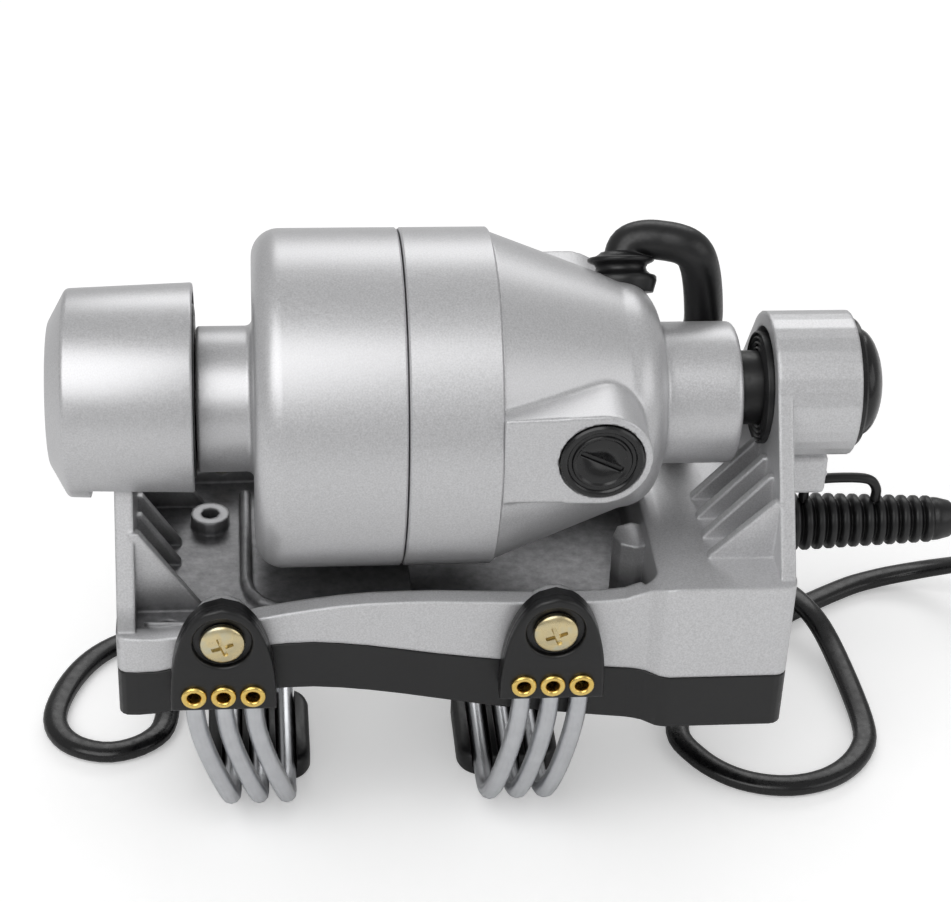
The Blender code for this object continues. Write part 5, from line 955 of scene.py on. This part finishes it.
# %% Repeating by nodes
def new_tree(name, inputs):
    tree = bpy.data.node_groups.new(name, "GeometryNodeTree")
    for label, kind in (("Geometry", "NodeSocketGeometry"), *inputs):
        tree.interface.new_socket(label, in_out="INPUT", socket_type=kind)
    tree.interface.new_socket("Geometry", in_out="OUTPUT", socket_type="NodeSocketGeometry")
    return tree, tree.nodes.new("NodeGroupInput").outputs, tree.nodes.new("NodeGroupOutput")


def finish_tree(tree, geometry, given, result):
    """Makes a tree's geometry real, gives it its finish and hands it out."""
    real = add(tree, "GeometryNodeRealizeInstances", {"Geometry": geometry})
    paint = add(tree, "GeometryNodeSetMaterial", {"Geometry": real.outputs["Geometry"],
                                                  "Material": given["Finish"]})
    wire(tree, result, {"Geometry": paint.outputs["Geometry"]})
    return tree


def run_tree(obj, tree, values):
    """Runs a node group on an object, with values for its inputs."""
    step = obj.modifiers.new("nodes", "NODES")
    step.node_group = tree
    for item in tree.interface.items_tree:
        if item.name in values:
            step[item.identifier] = values[item.name]


def repeat_tree():
    """Sets a source object on every point, turned by the point's own direction."""
    tree, given, result = new_tree("set_on_points", [
        ("Source", "NodeSocketObject"), ("Finish", "NodeSocketMaterial"),
    ])
    info = add(tree, "GeometryNodeObjectInfo", {"Object": given["Source"]})
    facing = add(tree, "GeometryNodeInputNamedAttribute", {"Name": "facing"},
                 data_type="FLOAT_VECTOR")
    turn = add(tree, "FunctionNodeAlignRotationToVector", {"Vector": facing.outputs["Attribute"]},
               axis="Z")
    copies = add(tree, "GeometryNodeInstanceOnPoints", {
        "Points": given["Geometry"], "Instance": info.outputs["Geometry"],
        "Rotation": turn.outputs["Rotation"],
    })
    return finish_tree(tree, copies.outputs["Instances"], given, result)


REPEAT = repeat_tree()


def repeated(name, source, places, material):
    """One plain mesh of a source set at places, each a point and the way it faces."""
    mesh = bpy.data.meshes.new(name)
    mesh.from_pydata([p for p, _ in places], [], [])
    facing = mesh.attributes.new("facing", "FLOAT_VECTOR", "POINT")
    for i, (_, way) in enumerate(places):
        facing.data[i].vector = way
    obj = in_scene(name, mesh)
    run_tree(obj, REPEAT, {"Source": source, "Finish": material})
    settle(obj)
    painted(obj.data, material)
    smoothed(obj.data, 35)
    return obj


# %% [markdown]
# An eyelet is a brass ring with a rolled rim and a short tube. One is spun, and the node group
# sets three of it on each tab.

# %% Eyelets
eyelet_source = finished("eyelet_source", spun(
    [(0.0015, -0.0040), (0.0015, 0.0003), *arc((0.0022, 0.0003), 0.0007, 180, 0, 10),
     (0.0028, 0.0), (0.0019, 0.0), (0.0019, -0.0040)], (0, 0, 0), (0, 0, 1), 40, closed=True), BRASS)
for word in ("front", "rear"):
    places, stands_for = [], []
    for side_word in ("near", "far"):
        x, screw_z, side, _, face = TABS[word, side_word]
        for k, letter in ((-1, "a"), (0, "b"), (1, "c")):
            places.append(((x + k * EYELET_PITCH, face, screw_z - EYELET_DROP), (0, side, 0)))
            stands_for.append("%s_%s_eyelet_%s" % (word, side_word, letter))
    ring_set = repeated(word + "_eyelets", eyelet_source, places, BRASS)
    standing_for(ring_set, word + "_strap", "brass", *stands_for)
bpy.data.objects.remove(eyelet_source, do_unlink=True)
print("eyelets on a tab:", 3)

# %% [markdown]
# A tab screw is a low dome with a cross recess. Two rounded blocks are cut out of a spun head,
# and the same node group sets one on each tab. The screws belong to the cradle.

# %% Tab screws
CROSS_TURN, HEAD_SINK = 0.35, 0.0011
head = [(0, 0.0023), *[(0.0050 * math.sin(a), 0.0010 + 0.0013 * math.cos(a))
                       for a in quarter_turn(10)[1:]],
        (0.0051, 0.0006), (0.0049, 0.0), (0.0020, 0.0), (0.0020, -0.0060), (0, -0.0060)]
screw_source = finished("screw_source", spun(head, (0, 0, 0), (0, 0, 1), 56), ZINC)
for turned_by in (CROSS_TURN, CROSS_TURN + math.pi / 2):
    place = Matrix.Translation((0, 0, 0.0030)) @ Matrix.Rotation(turned_by, 4, "Z")
    notched(screw_source, (0.0052, 0.0011, 0.0040), 0.0003, place, ZINC)
screw_places = [((x, face - side * HEAD_SINK, screw_z), (0, side, 0))
                for x, screw_z, side, _, face in TABS.values()]
screws = repeated("tab_screws", screw_source, screw_places, ZINC)
standing_for(screws, "cradle", "zinc_gold", *["%s_%s_screw" % key for key in TABS])
bpy.data.objects.remove(screw_source, do_unlink=True)
print("screws:", len(screw_places))

# %% [markdown]
# Each strand is a close wound spring. A node tree reads points along the strand's line, throws
# each out to the side by the turn it has reached, and sweeps a wire along the result.

# %% Spring strands
STRAND_R, WIRE_R, STRAND_POWER, STRAND_FLAT = 0.00225, 0.00031, 2.5, 0.0145
STRAND_BOTTOM = 0.0016 + STRAND_R
CORE_STEP, GROOVE, TURN_PITCH, WIRE_POINTS = 0.0012, 0.00008, 2.06, 11
LEANS, TAB_REACH, CURVE_STEPS = {"front": 0.0080, "rear": -0.0050}, 0.0008, 48


def winding_tree():
    """Winds a wire round a line."""
    tree, given, result = new_tree("wind_wire", [
        ("Turns", "NodeSocketFloat"), ("Points", "NodeSocketInt"),
        ("Coil radius", "NodeSocketFloat"), ("Wire radius", "NodeSocketFloat"),
        ("Finish", "NodeSocketMaterial"),
    ])

    def vector(operation, a, b=None, scale=None):
        return add(tree, "ShaderNodeVectorMath", {0: a, 1: b, "Scale": scale},
                   operation=operation).outputs["Vector"]

    line = add(tree, "GeometryNodeMeshLine", {"Count": given["Points"]})
    index = add(tree, "GeometryNodeInputIndex").outputs[0]
    share = maths(tree, "DIVIDE", index, maths(tree, "SUBTRACT", given["Points"], 1.0))
    read = add(tree, "GeometryNodeSampleCurve", {"Curves": given["Geometry"], "Factor": share},
               mode="FACTOR").outputs
    angle = maths(tree, "MULTIPLY", maths(tree, "MULTIPLY", share, given["Turns"]), 2 * math.pi)
    other = vector("CROSS_PRODUCT", read["Tangent"], read["Normal"])
    out_a = vector("SCALE", read["Normal"], scale=maths(tree, "COSINE", angle))
    out_b = vector("SCALE", other, scale=maths(tree, "SINE", angle))
    out = vector("SCALE", vector("ADD", out_a, out_b), scale=given["Coil radius"])
    move = add(tree, "GeometryNodeSetPosition", {"Geometry": line.outputs["Mesh"],
                                                 "Position": vector("ADD", read["Position"], out)})
    as_curve = add(tree, "GeometryNodeMeshToCurve", {"Mesh": move.outputs["Geometry"]})
    section = add(tree, "GeometryNodeCurvePrimitiveCircle", {"Resolution": 6,
                                                             "Radius": given["Wire radius"]})
    sweep = add(tree, "GeometryNodeCurveToMesh", {
        "Fill Caps": True, "Curve": as_curve.outputs["Curve"],
        "Profile Curve": section.outputs["Curve"],
    })
    return finish_tree(tree, sweep.outputs["Mesh"], given, result)


WIND = winding_tree()


def strand_line(word, letter):
    """A strand's middle line: down from one tab, under the pad, up to the other."""
    x, screw_z, _, seat, face = TABS[word, "far"]
    half = (seat + face) / 2
    top = screw_z - FOOT_DROP + TAB_REACH
    lean = LEANS[word]
    offset = {"a": -1, "b": 0, "c": 1}[letter] * EYELET_PITCH
    height = top - STRAND_BOTTOM - STRAND_R
    quarter = [(STRAND_FLAT + (half - STRAND_FLAT) * math.sin(angle) ** (2 / STRAND_POWER),
                STRAND_BOTTOM + height * (1 - math.cos(angle) ** (2 / STRAND_POWER)))
               for angle in quarter_turn(CURVE_STEPS)]
    half_line = [(0, STRAND_BOTTOM), *quarter, (half, top)]
    line = [(-y, z) for y, z in reversed(half_line)] + half_line[1:]
    return [Vector((x + offset + lean * smooth_share((top - z) / (top - STRAND_BOTTOM)), y, z))
            for y, z in line]


def wound(name, line):
    """Wire wound close round a smooth core, which leaves the grooves shallow."""
    curve = bpy.data.curves.new(name, "CURVE")
    curve.dimensions = "3D"
    spline = curve.splines.new("POLY")
    spline.points.add(len(line) - 1)
    for point, co in zip(spline.points, line):
        point.co = (*co, 1)
    path = in_scene(name + "_path", curve)
    turns = line_length(line) / (WIRE_R * TURN_PITCH)
    run_tree(path, WIND, {"Turns": turns, "Points": int(turns * WIRE_POINTS), "Finish": SPRING,
                          "Coil radius": STRAND_R - WIRE_R, "Wire radius": WIRE_R})
    mesh = evaluated(path)
    bpy.data.objects.remove(path, do_unlink=True)
    core = swept(evened(line, CORE_STEP), round_section(STRAND_R - GROOVE, 20),
                 lambda along: Vector((1, 0, 0)))
    bmesh.ops.recalc_face_normals(core, faces=core.faces)
    core.from_mesh(mesh)
    core.to_mesh(mesh)
    core.free()
    painted(mesh, SPRING)
    mesh.shade_smooth()
    return in_scene(name, mesh), turns


for word in ("front", "rear"):
    for letter in "abc":
        line = strand_line(word, letter)
        strand, turns = wound("%s_strand_%s" % (word, letter), line)
        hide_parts("%s_spring_%s" % (word, letter))
        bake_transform(strand)
print("turns on a strand:", round(turns))

# %% [markdown]
# The keeper pads are thick rubber with rounded corners, and the strands lie in grooves on top.
# A rounded block, with three round grooves cut out of it, has that form.

# %% Keeper pads
for word in ("front", "rear"):
    low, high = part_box(word + "_pad")
    middle = (low + high) / 2
    shape = bmesh.new()
    outline = []
    size_x, size_y, radius = (high.x - low.x) / 2, (high.y - low.y) / 2, 0.0062
    for cx, cy, start in ((1, 1, 0), (-1, 1, 90), (-1, -1, 180), (1, -1, 270)):
        outline += arc((cx * (size_x - radius), cy * (size_y - radius)), radius, start, start + 90, 8)
    levels = ((0.0000, -0.0009), (0.0003, -0.0003), (0.0010, 0.0), (0.0045, 0.0),
              (0.0056, -0.0004), (0.0062, -0.0014))
    rings = [[shape.verts.new((middle.x + px * (1 + grow / size_x),
                               middle.y + py * (1 + grow / size_y), z)) for px, py in outline]
             for z, grow in levels]
    ring_faces(shape, rings)
    shape.faces.new(list(reversed(rings[0])))
    shape.faces.new(rings[-1])
    pad = finished(word + "_keeper_pad", shape, RUBBER)
    for k in (-1, 0, 1):
        at = middle.x + k * EYELET_PITCH
        groove = [*arc((at, STRAND_BOTTOM), STRAND_R + 0.0002, 180, 360, 14),
                  (at + STRAND_R + 0.0006, 0.0120), (at - STRAND_R - 0.0006, 0.0120)]
        with_step(pad, finished("groove", prism(groove, -0.0300, 0.0300), RUBBER), "DIFFERENCE")
    painted(pad.data, RUBBER)
    smoothed(pad.data, 40)
    standing_for(pad, word + "_pad_body", "black_rubber", word + "_pad")
print("pads ready")

# %% [markdown]
# A plain white table and backdrop leave the object alone in the picture. The light is one large
# soft window from the upper left, a weaker one from the right, one from behind, and an even white
# room. The camera sees the room in full white and the table a little brighter than it is lit,
# while the room's own light on the object is dimmer.

# %% Stage and light
FLOOR_LIFT, ROOM_LIGHT = 0.30, 0.42
floor_mesh = bpy.data.meshes.new("table")
floor_mesh.from_pydata([(-4, -4, 0), (4, -4, 0), (4, 4, 0), (-4, 4, 0)], [], [(0, 1, 2, 3)])
floor = in_scene("table", floor_mesh)
floor.location.z = -0.0002
floor_finish, floor_tree, floor_shader = new_material("table_paper", (0.90, 0.90, 0.90), 0.9)
paper = ramp(floor_tree, noise(floor_tree, object_place(floor_tree), 300.0),
             [(0.3, (0.885, 0.885, 0.885)), (0.7, (0.905, 0.905, 0.905))])
floor_rays = add(floor_tree, "ShaderNodeLightPath").outputs["Is Camera Ray"]
wire(floor_tree, floor_shader, {"Base Color": paper, "Emission Color": (1, 1, 1, 1),
                                "Emission Strength": maths(floor_tree, "MULTIPLY", floor_rays,
                                                           FLOOR_LIFT)})
floor_mesh.materials.append(floor_finish)

world = bpy.data.worlds.new("room")
world.use_nodes = True
bpy.context.scene.world = world
room_tree = world.node_tree
rays = add(room_tree, "ShaderNodeLightPath").outputs
seen = maths(room_tree, "MAXIMUM", rays["Is Camera Ray"], rays["Is Transmission Ray"])
level = ranged(room_tree, seen, 0.0, 1.0, ROOM_LIGHT, 1.0)
wire(room_tree, room_tree.nodes["Background"], {"Strength": level, "Color": (1, 1, 1, 1)})


def window(name, place, size, power):
    light = bpy.data.lights.new(name, "AREA")
    light.shape = "RECTANGLE"
    light.size, light.size_y = size
    light.energy = power
    obj = in_scene(name, light)
    obj.location = place
    aim = Vector((0, 0, 0.08)) - Vector(place)
    obj.rotation_euler = aim.to_track_quat("-Z", "Y").to_euler()


window("key_window", (-0.40, -0.60, 0.95), (1.0, 1.0), 7.0)
window("fill_window", (0.9, -0.5, 0.55), (0.8, 0.6), 1.6)
window("back_window", (0.2, 0.9, 0.8), (1.0, 0.5), 3.0)
bpy.context.scene.view_settings.view_transform = "Standard"
